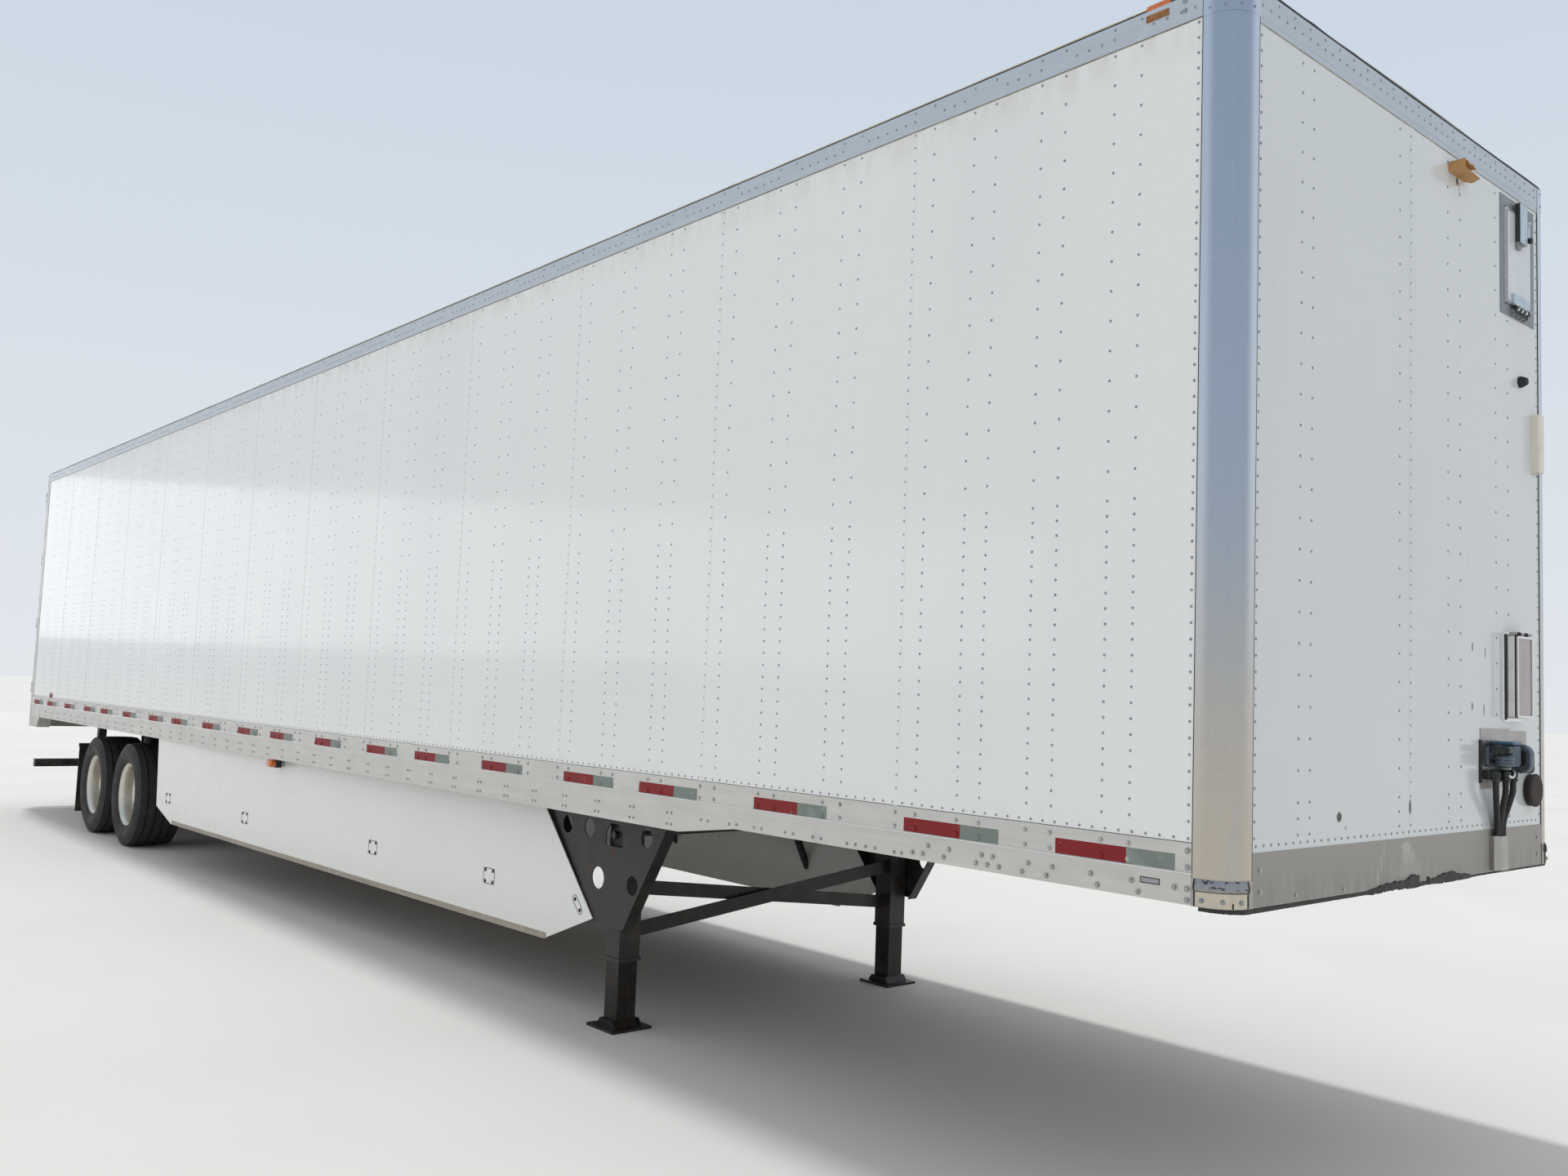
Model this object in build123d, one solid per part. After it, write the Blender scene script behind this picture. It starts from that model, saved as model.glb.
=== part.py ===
from build123d import *
import math
import os

# Semi trailer, 53 ft dry van on a sliding tandem, standing on its landing gear.
# Millimetres. X points to the nose, Y to the road side, Z up, origin on the ground under the middle.

# Van body, overall
body_length = 16154
body_width = 2591
nose = body_length / 2
tail = -body_length / 2
half = body_width / 2
lap = 3                  # rails and corner posts lap over the panels by this thickness
rail_face = half - lap
panel_face = rail_face - lap
nose_rail_face = nose - lap
nose_panel_face = nose_rail_face - lap
seat_gap = 0.3           # clearance of curved or painted faces that sit on each other

# Heights
coupler_height = 1150    # underside of the pick-up plate, and of the rails ahead of the landing gear
rail_drop = 53           # the rails are this much deeper behind the landing gear
member_depth = 102
floor_thickness = 35
panel_sit = 13           # the wall panels stand this far above the floor
panel_lap = 39           # height of the bottom rail's lap over the wall panel
rail_low = coupler_height
rail_low_rear = coupler_height - rail_drop
floor_low = coupler_height + member_depth
floor_top = floor_low + floor_thickness
panel_low = floor_top + panel_sit
top_rail_high = 4070
top_rail_height = 90
top_rail_cap = 20
wall_top = top_rail_high - top_rail_cap
roof_crown = 22
roof_sheet = 3
roof_inset = 12
roof_seat = 57.5         # width of the top rails' shelf under the roof's edge
bow_pitch = 610
bow_width = 28
bow_drop = 12            # the bows' underside below the top of the walls
bow_ends = (420, 330)    # first bow from the tail, last bow from the nose

# Walls
wall_thickness = 38
nose_wall_thickness = 57
wall_inside = panel_face - wall_thickness
nose_inside = nose_panel_face - nose_wall_thickness
rail_web = 6
bead_height = 6
bead_above_rail = 93
nose_rail_lap = 64

# Corner posts
corner_radius = 105
corner_flange = 129.5    # from the corner to the edge of the flange on each side
corner_block = 100
cap_height = 96
cap_proud = 1.5
guard_height = 85

# Rear frame and doors
rear_depth = 120
rear_post_width = 54
header_height = 110
sill_depth = 312
sill_horn_length = 505
sill_horn_low_length = 420
sill_horn_width = 140
rear_post_inside = rail_face - rear_post_width
header_low = top_rail_high - header_height
sill_low = floor_top - sill_depth
door_thickness = 45
door_gap = 8
door_floor_gap = 10
door_middle_gap = 10
hinge_offset = 50        # hinge pins stand this far behind the frame
hinge_inset = 12         # and this far inside the overall width
hinge_radius = 11
hinge_pin_radius = 6
hinge_strap = 10
hinge_strap_length = 190
hinge_knuckle = 60
hinge_lug = 30
hinge_play = 1
hinge_run = 64           # each strap's arm runs this far in from its pin before it meets the door
hinge_count = 4
hinge_above_floor = 163
hinge_below_header = 170
lock_rod_radius = 12
lock_rod_off = 17        # rod's centre line from the door's outer face
lock_rod_from_middle = 260
lock_rod_overrun = 70    # the rods reach past the leaf over the header and the sill
keeper_room = 8
keeper_plate = 8
keeper_depth = 32
keeper_height = 44
rod_guide_count = 4
rod_guide_above_floor = 153
rod_guide_below_header = 460
rod_guide_half = 34
rod_guide_height = 40
handle_above_floor = 273
handle_length = 420
handle_bar = 26
tail_lamp_radius = 55
tail_lamp_insets = (165.5, 310.5)   # from the overall side to each lamp's middle
tail_lamp_rise = 150
marker_radius = 32
marker_pitch = 150
marker_inset = 80.5
lamp_proud = 10

# Landing gear, kingpin and tandem along the length
kingpin_setback = 914
leg_behind_kingpin = 2709
axle_behind_kingpin = 12192
axle_spacing = 1245
kingpin_x = nose - kingpin_setback
leg_x = kingpin_x - leg_behind_kingpin
rear_axle_x = kingpin_x - axle_behind_kingpin
front_axle_x = rear_axle_x + axle_spacing

# Rail step, ahead of the landing gear
step_front = leg_x + 1258
step_rear = leg_x + 853

# Cross members
member_pitch = 305
member_flange = 57
member_web = 5
pickup_plate = 8
pickup_length = 1617

# Kingpin to the usual 50.8 mm throat
kingpin_throat = 50.8
kingpin_flange = 71.4
kingpin_flange_height = 19
kingpin_collar_height = 14
kingpin_length = 84

# Landing gear
leg_inset = 311.5
leg_y = half - leg_inset
leg_outer = 127
leg_wall = 6
leg_inner = 114
leg_outer_high = coupler_height - 50
leg_outer_low = coupler_height - 810
leg_inner_stays_in = 260  # the inner legs reach this far up inside the outer ones
leg_collar = 139
leg_collar_height = 18
foot_size = 240
foot_plate = 14
foot_block = 165
foot_block_height = 34
wing_y = leg_y + 96
wing_plate = 6
wing_flange = 70
wing_low = coupler_height - 635
wing_low_half = 130
wing_high_ahead = 532
wing_high_behind = 657
wing_hole_high = coupler_height - 154
wing_hole_low = coupler_height - 401
brace_height = 75
brace_plate = 8
brace_gap = 12
brace_low = coupler_height - 660
brace_high = coupler_height - 445
shaft_height = coupler_height - 170
shaft_radius = 14
crank_length = 330
crank_bar = 24
crank_grip = 110

# Side skirts
skirt_sheet = 6
skirt_rear_y = rail_face - 17.5
skirt_front_y = wing_y + 10
skirt_behind_leg = 134
skirt_ahead_of_tyre = 501
skirt_low = 362
skirt_front_high = 536   # top of the slanted corner at each end
skirt_rear_high = 487
strut_from_rear = (392, 2366, 4765, 6308)
strut_width = 40
strut_low = 560
strut_bar = 60
strut_in = 860           # where the struts meet the cross members

# Tandem
tyre_radius = 500
tyre_width = 445
tyre_clear = 13          # tyres stay this far inside the overall width
tyre_y = half - tyre_clear - tyre_width / 2
tyre_shoulder = 24
rim_radius = 290
rim_half_width = 178
rim_wall = 24
disc_out = 62            # outer face of the wheel's disc from its middle plane
disc_plate = 22
hub_radius = 88
hub_out = 112
drum_radius = 222
drum_width = 190
axle_tube_radius = 63.5
axle_end_inset = 245     # the tubes end this far inside the tyres' middle planes
spider_radius = 120
spider_plate = 20
chamber_from_middle = 330
chamber_radius = 78
cam_ahead = 130
cam_rise = 30
cam_radius = 16
spindle_radius = 42
spindle_reach = 50       # the spindles reach this far out past the tyres' middle planes
running_fit = 0.1
bogie_y = tyre_y - 490
bogie_rail_width = 80
body_rail_height = 80
body_rail_sheet = 8
body_rail_lip = 40
body_rail_ends = (430, 1500)   # from the tail, ahead of the front axle
bogie_rail_height = 150
bogie_front_x = front_axle_x + 680
bogie_rear_x = rear_axle_x - 620
pivot_ahead = 510
spring_behind = 340
spring_radius = 125
spring_seat = 8          # the air springs' seats above the pivots
arm_width = 90
arm_height = 110
arm_eye_radius = 45
pivot_pin_radius = 22
pivot_height = tyre_radius + 190
skirt_rear_x = front_axle_x + tyre_radius + skirt_ahead_of_tyre
skirt_front_x = leg_x - skirt_behind_leg
flap_behind_tyre = 344
flap_x = rear_axle_x - tyre_radius - flap_behind_tyre
flap_low = 141
flap_high = 842
flap_out = half - 75.5
flap_bar = 40
flap_width = 610
flap_sheet = 10
guard_bar_low = 481
guard_bar_height = 92
guard_bar_depth = 92
guard_bar_half = half - 85.5
guard_leg_y = 480
guard_leg_width = 90

# Vent in the nose wall, on the road side
vent_inset = 352.5
vent_drop = 383
vent_y = half - vent_inset
vent_z = top_rail_high - vent_drop
vent_leaf_width = 270
vent_leaf_height = 406
vent_gap = 6
vent_top_gap = 9
vent_frame_band = 45
vent_leaf_proud = 10
vent_leaf_deep = 34
vent_hinge_out = 12
vent_hinge_drop = 14
vent_knuckle_radius = 8
vent_strap_height = 20
latch_y = (vent_y - 44, vent_y + 32)
latch_z = (vent_z + 67, vent_z + 240)
latch_depth = 21
latch_foot_depth = 12
latch_foot_drop = 24
latch_pin_y = vent_y + 50
latch_pin_z = (vent_z + 95, vent_z + 170)
latch_pin_radius = 5
latch_knob_radius = 12
latch_knob_length = 32

# Nose fittings
plate_y = (half - 750.5, half - 457.5)
plate_z = (coupler_height + 327, coupler_height + 563)
hose_radius = 11.5
left_coupling_y = half - 677.5
socket_y = half - 587.5
right_coupling_y = half - 477.5
coupling_height = coupler_height + 447
port_y = (half - 713.5, half - 617.5, half - 543.5)
port_height = coupler_height + 398
port_out = 42
port_length = 44
port_radius = 16
hose_low_out = 18
hose_pitch = 28          # the hoses lie this far apart in their cover
cover_y = (half - 665.5, half - 557.5)
cover_z = (coupler_height + 8, coupler_height + 142)
cover_depth = 36
cover_bevel = 20
cover_sheet = 3
disc_y = half - 253.5    # rubber bumper disc low on the nose
disc_z = coupler_height + 312
disc_radius = 61
disc_depth = 26
stop_y = vent_y + 24     # rubber stop that the open vent door rests on
stop_z = vent_z - 515
stop_radius = 24
stop_depth = 31
unit_y = half - 178.5    # middle of the tracking unit's housing
unit_z = (vent_z - 885, vent_z - 637)
unit_width = 70
unit_depth = 33
housing_y = (262, 405)   # broken lamp housing under the top rail
housing_z = (top_rail_high - 189, top_rail_high - 150)
housing_depth = 64
housing_wall = 3
holdback_ahead = 1031
box_y = (half - 505.5, half - 345.5)
box_z = (coupler_height + 607, coupler_height + 942)
box_depth = 40
box_wall = 2.5
lid_sheet = 3
lid_gap = 5
lid_hinge_radius = 5
lid_pin_radius = 2.5


def block(x, y, z):
    """A box between the low and high value of each axis."""
    place = Plane(origin=(min(x), min(y), min(z)))
    return Solid.make_box(abs(x[1] - x[0]), abs(y[1] - y[0]), abs(z[1] - z[0]), place)


def face_of(points):
    return Face(Wire.make_polygon([Vector(*p) for p in points], close=True))


def prism(axis, outline, span):
    """An outline in the two other axes, carried along the named axis over the span."""
    low, high = min(span), max(span)
    place = {
        "x": lambda a, b: (low, a, b),
        "y": lambda a, b: (a, low, b),
        "z": lambda a, b: (a, b, low),
    }[axis]
    way = {"x": (1, 0, 0), "y": (0, 1, 0), "z": (0, 0, 1)}[axis]
    return Solid.extrude(face_of([place(a, b) for a, b in outline]), Vector(*way) * (high - low))


def rod(start, end, radius):
    way = Vector(*end) - Vector(*start)
    return Solid.make_cylinder(radius, way.length, Plane(origin=start, z_dir=way))


def turned(axis, centre, outline):
    """An outline of (place along the axis, radius) turned about an axis through centre."""
    cx, cy, cz = centre
    place = {
        "y": lambda s, r: (cx, cy + s, cz + r),
        "x": lambda s, r: (cx + s, cy, cz + r),
        "z": lambda s, r: (cx + r, cy, cz + s),
    }[axis]
    way = {"x": (1, 0, 0), "y": (0, 1, 0), "z": (0, 0, 1)}[axis]
    return Solid.revolve(face_of([place(s, r) for s, r in outline]), 360, Axis(centre, way))


def joined(*shapes):
    whole = shapes[0]
    for shape in shapes[1:]:
        whole = whole + shape
    return whole


def other_side(shape):
    return shape.mirror(Plane.XZ)


def both_sides(shape):
    return [shape, other_side(shape)]


def levels(low, high, count):
    """Evenly spaced places from low to high."""
    return [low + (high - low) * i / (count - 1) for i in range(count)]


def crown_height(y):
    """Height of the roof's underside at a distance y from the middle."""
    reach = half - roof_inset
    radius = (reach ** 2 + roof_crown ** 2) / (2 * roof_crown)
    return top_rail_high + roof_crown - radius + math.sqrt(radius ** 2 - y ** 2)


def crown_slab(x, y_reach, low):
    """A slab with a flat underside at low and the roof's crown on top."""
    side = crown_height(y_reach)
    top = Edge.make_three_point_arc((x[0], y_reach, side), (x[0], 0, crown_height(0)),
                                    (x[0], -y_reach, side))
    rest = [Edge.make_line((x[0], -y_reach, side), (x[0], -y_reach, low)),
            Edge.make_line((x[0], -y_reach, low), (x[0], y_reach, low)),
            Edge.make_line((x[0], y_reach, low), (x[0], y_reach, side))]
    return Solid.extrude(Face(Wire([top] + rest)), Vector(x[1] - x[0], 0, 0))


def corner_face(proud, z):
    """Plan of a front corner post, its outer faces moved out by proud."""
    nx, hy = nose_rail_face + proud, rail_face + proud
    r = corner_radius + proud
    c = (nose_rail_face - corner_radius, rail_face - corner_radius)
    mid = (c[0] + r * math.sqrt(0.5), c[1] + r * math.sqrt(0.5))
    arc = Edge.make_three_point_arc((nx, c[1], z), (*mid, z), (c[0], hy, z))
    path = [(c[0], hy), (nose - corner_flange, hy), (nose - corner_flange, panel_face),
            (nose - corner_block, panel_face), (nose - corner_block, wall_inside),
            (nose_inside, half - corner_block), (nose_panel_face, half - corner_block),
            (nose_panel_face, half - corner_flange), (nx, half - corner_flange), (nx, c[1])]
    lines = [Edge.make_line((*a, z), (*b, z)) for a, b in zip(path, path[1:])]
    return Face(Wire([arc] + lines))


def corner_posts():
    post = Solid.extrude(corner_face(0, coupler_height), Vector(0, 0, top_rail_high - coupler_height))
    cap = Solid.extrude(corner_face(cap_proud, top_rail_high - cap_height), Vector(0, 0, cap_height))
    return both_sides(joined(post, cap))


def corner_guards():
    """Bent plate round the foot of each corner post."""
    z = coupler_height
    c = (nose_rail_face - corner_radius, rail_face - corner_radius)
    s = math.sqrt(0.5)
    edges = []
    for off in (seat_gap, lap):
        r = corner_radius + off
        edges.append(Edge.make_three_point_arc((c[0] + r, c[1], z), (c[0] + r * s, c[1] + r * s, z),
                                               (c[0], c[1] + r, z)))
    inner, outer = corner_radius + seat_gap, corner_radius + lap
    end_x, end_y = nose - corner_flange, half - corner_flange
    path_side = [(c[0], c[1] + outer), (end_x, c[1] + outer), (end_x, c[1] + inner), (c[0], c[1] + inner)]
    path_front = [(c[0] + inner, c[1]), (c[0] + inner, end_y), (c[0] + outer, end_y), (c[0] + outer, c[1])]
    for path in (path_side, path_front):
        edges += [Edge.make_line((*a, z), (*b, z)) for a, b in zip(path, path[1:])]
    guard = Solid.extrude(Face(Wire(edges)), Vector(0, 0, guard_height))
    return both_sides(guard)


def side_wall():
    """Road side wall panel."""
    return block((tail + rear_depth, nose - corner_block), (wall_inside, panel_face), (panel_low, wall_top))


def front_wall():
    wall = block((nose_inside, nose_panel_face), (-half + corner_block, half - corner_block),
                 (floor_low, wall_top))
    wide, high = vent_leaf_width / 2 + vent_gap, vent_leaf_height / 2
    hole = block((nose_inside - 1, nose), (vent_y - wide, vent_y + wide),
                 (vent_z - high - vent_gap, vent_z + high + vent_top_gap))
    return [wall - hole]


def roof():
    """Crowned sheet with its front corners rounded over the corner posts."""
    reach, x = half - roof_inset, tail + roof_inset
    up = Vector(0, 0, roof_sheet)
    low = [Vector(x, y, crown_height(y)) for y in (reach, 0, -reach)]
    high = [point + up for point in low]
    rim = [Edge.make_three_point_arc(*low), Edge.make_line(low[2], high[2]),
           Edge.make_three_point_arc(*reversed(high)), Edge.make_line(high[0], low[0])]
    sheet = Solid.extrude(Face(Wire(rim)), Vector(body_length - 2 * roof_inset, 0, 0))
    r = corner_radius - roof_inset
    front = nose - roof_inset
    turn = [math.radians(22.5 * i) for i in range(5)]
    corner = [(front + 1, reach + 1), (front + 1, reach - r)]
    corner += [(front - r + r * math.cos(t), reach - r + r * math.sin(t)) for t in turn]
    corner.append((front - r, reach + 1))
    for cut in both_sides(prism("z", corner, (top_rail_high - 20, top_rail_high + 60))):
        sheet = sheet - cut
    return [sheet]


def roof_bows():
    reach = rail_face - roof_seat - seat_gap
    first, last = tail + bow_ends[0], nose - bow_ends[1]
    count = round((last - first) / bow_pitch) + 1
    return [crown_slab((x, x + bow_width), reach, wall_top - bow_drop) for x in levels(first, last, count)]


def between_posts(back, reach):
    """Plan of what fills the body's width and ends between the corner posts."""
    road_side = [(back, reach), (nose - corner_block, reach), (nose - corner_block, wall_inside),
                 (nose_inside, half - corner_block)]
    return road_side + [(x, -y) for x, y in reversed(road_side)]


def floor():
    back = tail + rear_depth
    outline = [(back, wall_inside), (nose - corner_block, wall_inside), (nose_inside, half - corner_block),
               (nose_inside, -half + corner_block), (nose - corner_block, -wall_inside), (back, -wall_inside)]
    return [prism("z", outline, (floor_low, floor_top))]


def i_beam(x, low):
    """One cross member, seen along Y as a rolled I."""
    f, w, t = member_flange / 2, member_web / 2, member_web
    outline = [(x - f, low), (x + f, low), (x + f, low + t), (x + w, low + t), (x + w, floor_low - t),
               (x + f, floor_low - t), (x + f, floor_low), (x - f, floor_low), (x - f, floor_low - t),
               (x - w, floor_low - t), (x - w, low + t), (x - f, low + t)]
    return prism("y", outline, (-rail_face + rail_web, rail_face - rail_web))


def cross_members():
    first, last = tail + 320, nose - 200
    count = round((last - first) / member_pitch)
    pitch = (last - first) / count
    plate_end = nose_inside - pickup_length
    beams = []
    for i in range(count + 1):
        x = first + i * pitch
        over_plate = x + member_flange > plate_end
        beams.append(i_beam(x, coupler_height + (pickup_plate if over_plate else 0)))
    return beams


def bottom_rail():
    """Road side bottom rail, deeper behind the landing gear."""
    web_in = rail_face - rail_web
    leg = wall_inside + rail_web
    outline = [(rail_face, rail_low), (rail_face, panel_low + panel_lap), (panel_face, panel_low + panel_lap),
               (panel_face, panel_low), (wall_inside, panel_low), (wall_inside, floor_low),
               (leg, floor_low), (leg, panel_low - rail_web), (web_in, panel_low - rail_web),
               (web_in, rail_low)]
    span = (tail + rear_depth, nose - corner_flange)
    rail = prism("x", outline, span)
    drop = prism("y", [(span[0], rail_low_rear), (step_rear, rail_low_rear), (step_front, rail_low),
                       (span[0], rail_low)], (web_in, rail_face))
    low = rail_low + bead_above_rail
    bead = block(span, (rail_face, rail_face + 2), (low, low + bead_height))
    return joined(rail, drop, bead)


def top_rail_outline(face):
    low, high = top_rail_high - top_rail_height, top_rail_high
    inner = face - roof_seat
    return [(face, low), (face, high), (inner, high), (inner, wall_top), (face - lap, wall_top),
            (face - lap, low)]


def top_rails():
    rail = prism("x", top_rail_outline(rail_face), (tail + rear_depth, nose - corner_flange))
    return both_sides(rail)


def nose_rails():
    """Rails across the nose, above and below the wall panel."""
    span = (-half + corner_flange, half - corner_flange)
    top = prism("y", top_rail_outline(nose_rail_face), span)
    crown = crown_slab((nose_rail_face - roof_seat, nose_rail_face - roof_inset), span[1], top_rail_high - 5)
    f, low, web = nose_rail_face, coupler_height, 8
    back = nose_inside
    channel = [(f, low), (f, floor_low + nose_rail_lap), (nose_panel_face, floor_low + nose_rail_lap),
               (nose_panel_face, floor_low), (back, floor_low), (back, floor_low - web),
               (f - web, floor_low - web), (f - web, low + web), (back, low + web), (back, low)]
    return [joined(top, crown), prism("y", channel, span)]


def lamp_places():
    """Lamps in the rear: (y, z, radius) of each round lamp."""
    low, high = sill_low + tail_lamp_rise, header_low + header_height / 2
    places = []
    for inset in tail_lamp_insets:
        places += [(side * (half - inset), low, tail_lamp_radius) for side in (1, -1)]
    places += [(y, high, marker_radius) for y in (-marker_pitch, 0, marker_pitch)]
    return places + [(side * (half - marker_inset), high, marker_radius) for side in (1, -1)]


def hinge_levels():
    return levels(floor_top + hinge_above_floor, header_low - hinge_below_header, hinge_count)


def hinge_lug_outline(pin_x, pin_y):
    """Plan of a frame lug round its hinge pin, its nose cut to a half octagon."""
    r = hinge_radius
    c = r * math.tan(math.radians(22.5))
    return [(tail, pin_y - r), (pin_x - c, pin_y - r), (pin_x - r, pin_y - c), (pin_x - r, pin_y + c),
            (pin_x - c, pin_y + r), (tail, pin_y + r)]


def rear_frame():
    depth = (tail, tail + rear_depth)
    ring = joined(
        block(depth, (-rail_face, rail_face), (header_low, top_rail_high)),
        block(depth, (rear_post_inside, rail_face), (floor_top, header_low)),
        block(depth, (-rail_face, -rear_post_inside), (floor_top, header_low)),
        block(depth, (-rail_face, rail_face), (sill_low, floor_top)),
        crown_slab((tail + roof_inset, tail + rear_depth), rail_face - roof_seat / 2, top_rail_high - 5),
    )
    horn_outline = [(tail, sill_low), (tail + sill_horn_low_length, sill_low),
                    (tail + sill_horn_length, rail_low_rear), (tail, rail_low_rear)]
    pin_x, pin_y = tail - hinge_offset, half - hinge_inset
    clear = hinge_knuckle / 2 + hinge_play
    reach = lock_rod_radius + keeper_room
    for side in (1, -1):
        ring = ring + prism("y", horn_outline, (side * rail_face, side * (rail_face - sill_horn_width)))
        lug = hinge_lug_outline(pin_x, side * pin_y)
        for z in hinge_levels():
            ring = joined(ring, prism("z", lug, (z - clear - hinge_lug, z - clear)),
                          prism("z", lug, (z + clear, z + clear + hinge_lug)),
                          rod((pin_x, side * pin_y, z - clear - 5), (pin_x, side * pin_y, z + clear + 5),
                              hinge_pin_radius))
        y = side * lock_rod_from_middle
        for z in (floor_top - 52, header_low + 12):
            for near in (reach, -reach - keeper_plate):
                ring = ring + block((tail - keeper_depth, tail), (y + near, y + near + keeper_plate),
                                    (z, z + keeper_height))
    return [ring]


def rear_lamps():
    return [rod((tail - lamp_proud, y, z), (tail, y, z), radius) for y, z, radius in lamp_places()]


def door():
    """Road side door leaf with its hinge straps."""
    outer = rear_post_inside - door_gap
    leaf = block((tail, tail + door_thickness), (door_middle_gap / 2, outer),
                 (floor_top + door_floor_gap, header_low - door_floor_gap))
    pin_x, pin_y = tail - hinge_offset, half - hinge_inset
    foot_out = 8
    back = hinge_offset - foot_out
    reach = math.hypot(back, hinge_run)
    nx, ny = hinge_run / reach * hinge_strap / 2, back / reach * hinge_strap / 2
    end_x, end_y = tail - foot_out, pin_y - hinge_run
    arm = [(pin_x + nx, pin_y + ny), (end_x + nx, end_y + ny), (end_x, end_y - 14), (end_x - nx, end_y - ny),
           (pin_x - nx, pin_y - ny)]
    whole = leaf
    for z in hinge_levels():
        span = (z - hinge_knuckle / 2, z + hinge_knuckle / 2)
        foot = block((end_x, tail), (end_y + 4 - hinge_strap_length, end_y + 4), span)
        knuckle = rod((pin_x, pin_y, span[0]), (pin_x, pin_y, span[1]), hinge_radius)
        bore = rod((pin_x, pin_y, span[0] - 1), (pin_x, pin_y, span[1] + 1), hinge_pin_radius + 0.5)
        whole = whole + (joined(prism("z", arm, span), foot, knuckle) - bore)
    return whole


def lock_gear():
    """Lock rod, its guides and its handle on the road side door."""
    y, x = lock_rod_from_middle, tail - lock_rod_off
    low = floor_top + door_floor_gap - lock_rod_overrun
    high = header_low - door_floor_gap + lock_rod_overrun
    pieces = rod((x, y, low), (x, y, high), lock_rod_radius)
    guides = levels(floor_top + rod_guide_above_floor, header_low - rod_guide_below_header, rod_guide_count)
    for z in guides:
        pieces = pieces + block((tail - lock_rod_off - 16, tail), (y - rod_guide_half, y + rod_guide_half),
                                (z, z + rod_guide_height))
    z = floor_top + handle_above_floor
    grip = block((tail - 32, tail - 8), (y, y + handle_length), (z, z + handle_bar))
    end = y + handle_length
    catch = block((tail - 8, tail), (end - 90, end - 30), (z - 30, z + handle_bar + 30))
    return joined(pieces, grip, catch)


def pickup_plate_and_pin():
    """Plate of the upper coupler with the kingpin welded into it."""
    plan = between_posts(nose_inside - pickup_length, rail_face - rail_web)
    plate = prism("z", plan, (coupler_height, coupler_height + pickup_plate))
    r, flange = kingpin_throat / 2, kingpin_flange / 2
    low = coupler_height - kingpin_length
    outline = [(0, 0), (0, flange), (kingpin_flange_height, flange), (kingpin_flange_height, r),
               (kingpin_length - kingpin_collar_height, r), (kingpin_length - kingpin_collar_height, flange),
               (kingpin_length, flange), (kingpin_length, 0)]
    return [joined(plate, turned("z", (kingpin_x, 0, low), outline))]


def landing_brackets():
    """Wing plates that hang the legs from the cross members."""
    high = coupler_height
    t = wing_plate * 1.25
    behind, ahead = leg_x - wing_high_behind, leg_x + wing_high_ahead
    low_rear, low_front = leg_x - wing_low_half, leg_x + wing_low_half
    wing = [(behind, high), (low_rear, wing_low), (low_front, wing_low), (ahead, high)]
    hollow = [(behind + t, high + 1), (low_rear + t, wing_low - 1), (low_front - t, wing_low - 1),
              (ahead - t, high + 1)]
    plate = prism("y", wing, (wing_y - wing_flange, wing_y)) - prism(
        "y", hollow, (wing_y - wing_flange - 1, wing_y - wing_plate))
    through = (wing_y - 20, wing_y + 5)
    # columns: distance ahead of the leg, height, radius
    holes = ((-431, wing_hole_high, 48), (-216, wing_hole_high, 48), (309, wing_hole_high, 48),
             (-115, wing_hole_low, 57), (200, wing_hole_low, 48))
    for off, z, radius in holes:
        plate = plate - rod((leg_x + off, through[0], z), (leg_x + off, through[1], z), radius)
    s = shaft_height
    window = [(leg_x - 57, s - 55), (leg_x + 100, s - 55), (leg_x + 100, s + 20), (leg_x + 60, s + 60),
              (leg_x - 20, s + 60), (leg_x - 57, s + 5)]
    plate = plate - prism("y", window, through)
    face = leg_y + leg_outer / 2
    for z in ((wing_low + 45, wing_low + 135), (high - 100, high - 60)):
        plate = plate + block((leg_x - 50, leg_x + 50), (face, wing_y - wing_plate), z)
    return both_sides(plate)


def leg_tubes():
    o, i, c = leg_outer / 2, leg_outer / 2 - leg_wall, leg_collar / 2
    low, high = leg_outer_low, leg_outer_high
    tube = block((leg_x - o, leg_x + o), (leg_y - o, leg_y + o), (low, high))
    collar = block((leg_x - c, leg_x + c), (leg_y - c, leg_y + c), (low, low + leg_collar_height))
    bore = block((leg_x - i, leg_x + i), (leg_y - i, leg_y + i), (low - 1, high - leg_wall))
    return both_sides(joined(tube, collar) - bore)


def leg_feet():
    i, f = leg_inner / 2, foot_size / 2
    high = leg_outer_low + leg_inner_stays_in
    inner = block((leg_x - i, leg_x + i), (leg_y - i, leg_y + i), (foot_plate, high))
    pad = block((leg_x - f, leg_x + f), (leg_y - f, leg_y + f), (0, foot_plate))
    b = foot_block / 2
    top = foot_plate + foot_block_height
    ramp = prism("y", [(leg_x - b, foot_plate), (leg_x + b, foot_plate), (leg_x + i, top), (leg_x - i, top)],
                 (leg_y - b, leg_y + b))
    return both_sides(joined(inner, pad, ramp))


def leg_braces():
    inside = leg_y - leg_outer / 2
    h = brace_height / 2
    braces = []
    for side, x in ((1, leg_x + brace_gap), (-1, leg_x - brace_gap - brace_plate)):
        outline = [(side * -inside, brace_low - h), (side * inside, brace_high - h),
                   (side * inside, brace_high + h), (side * -inside, brace_low + h)]
        braces.append(prism("x", outline, (x, x + brace_plate)))
    return braces


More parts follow.
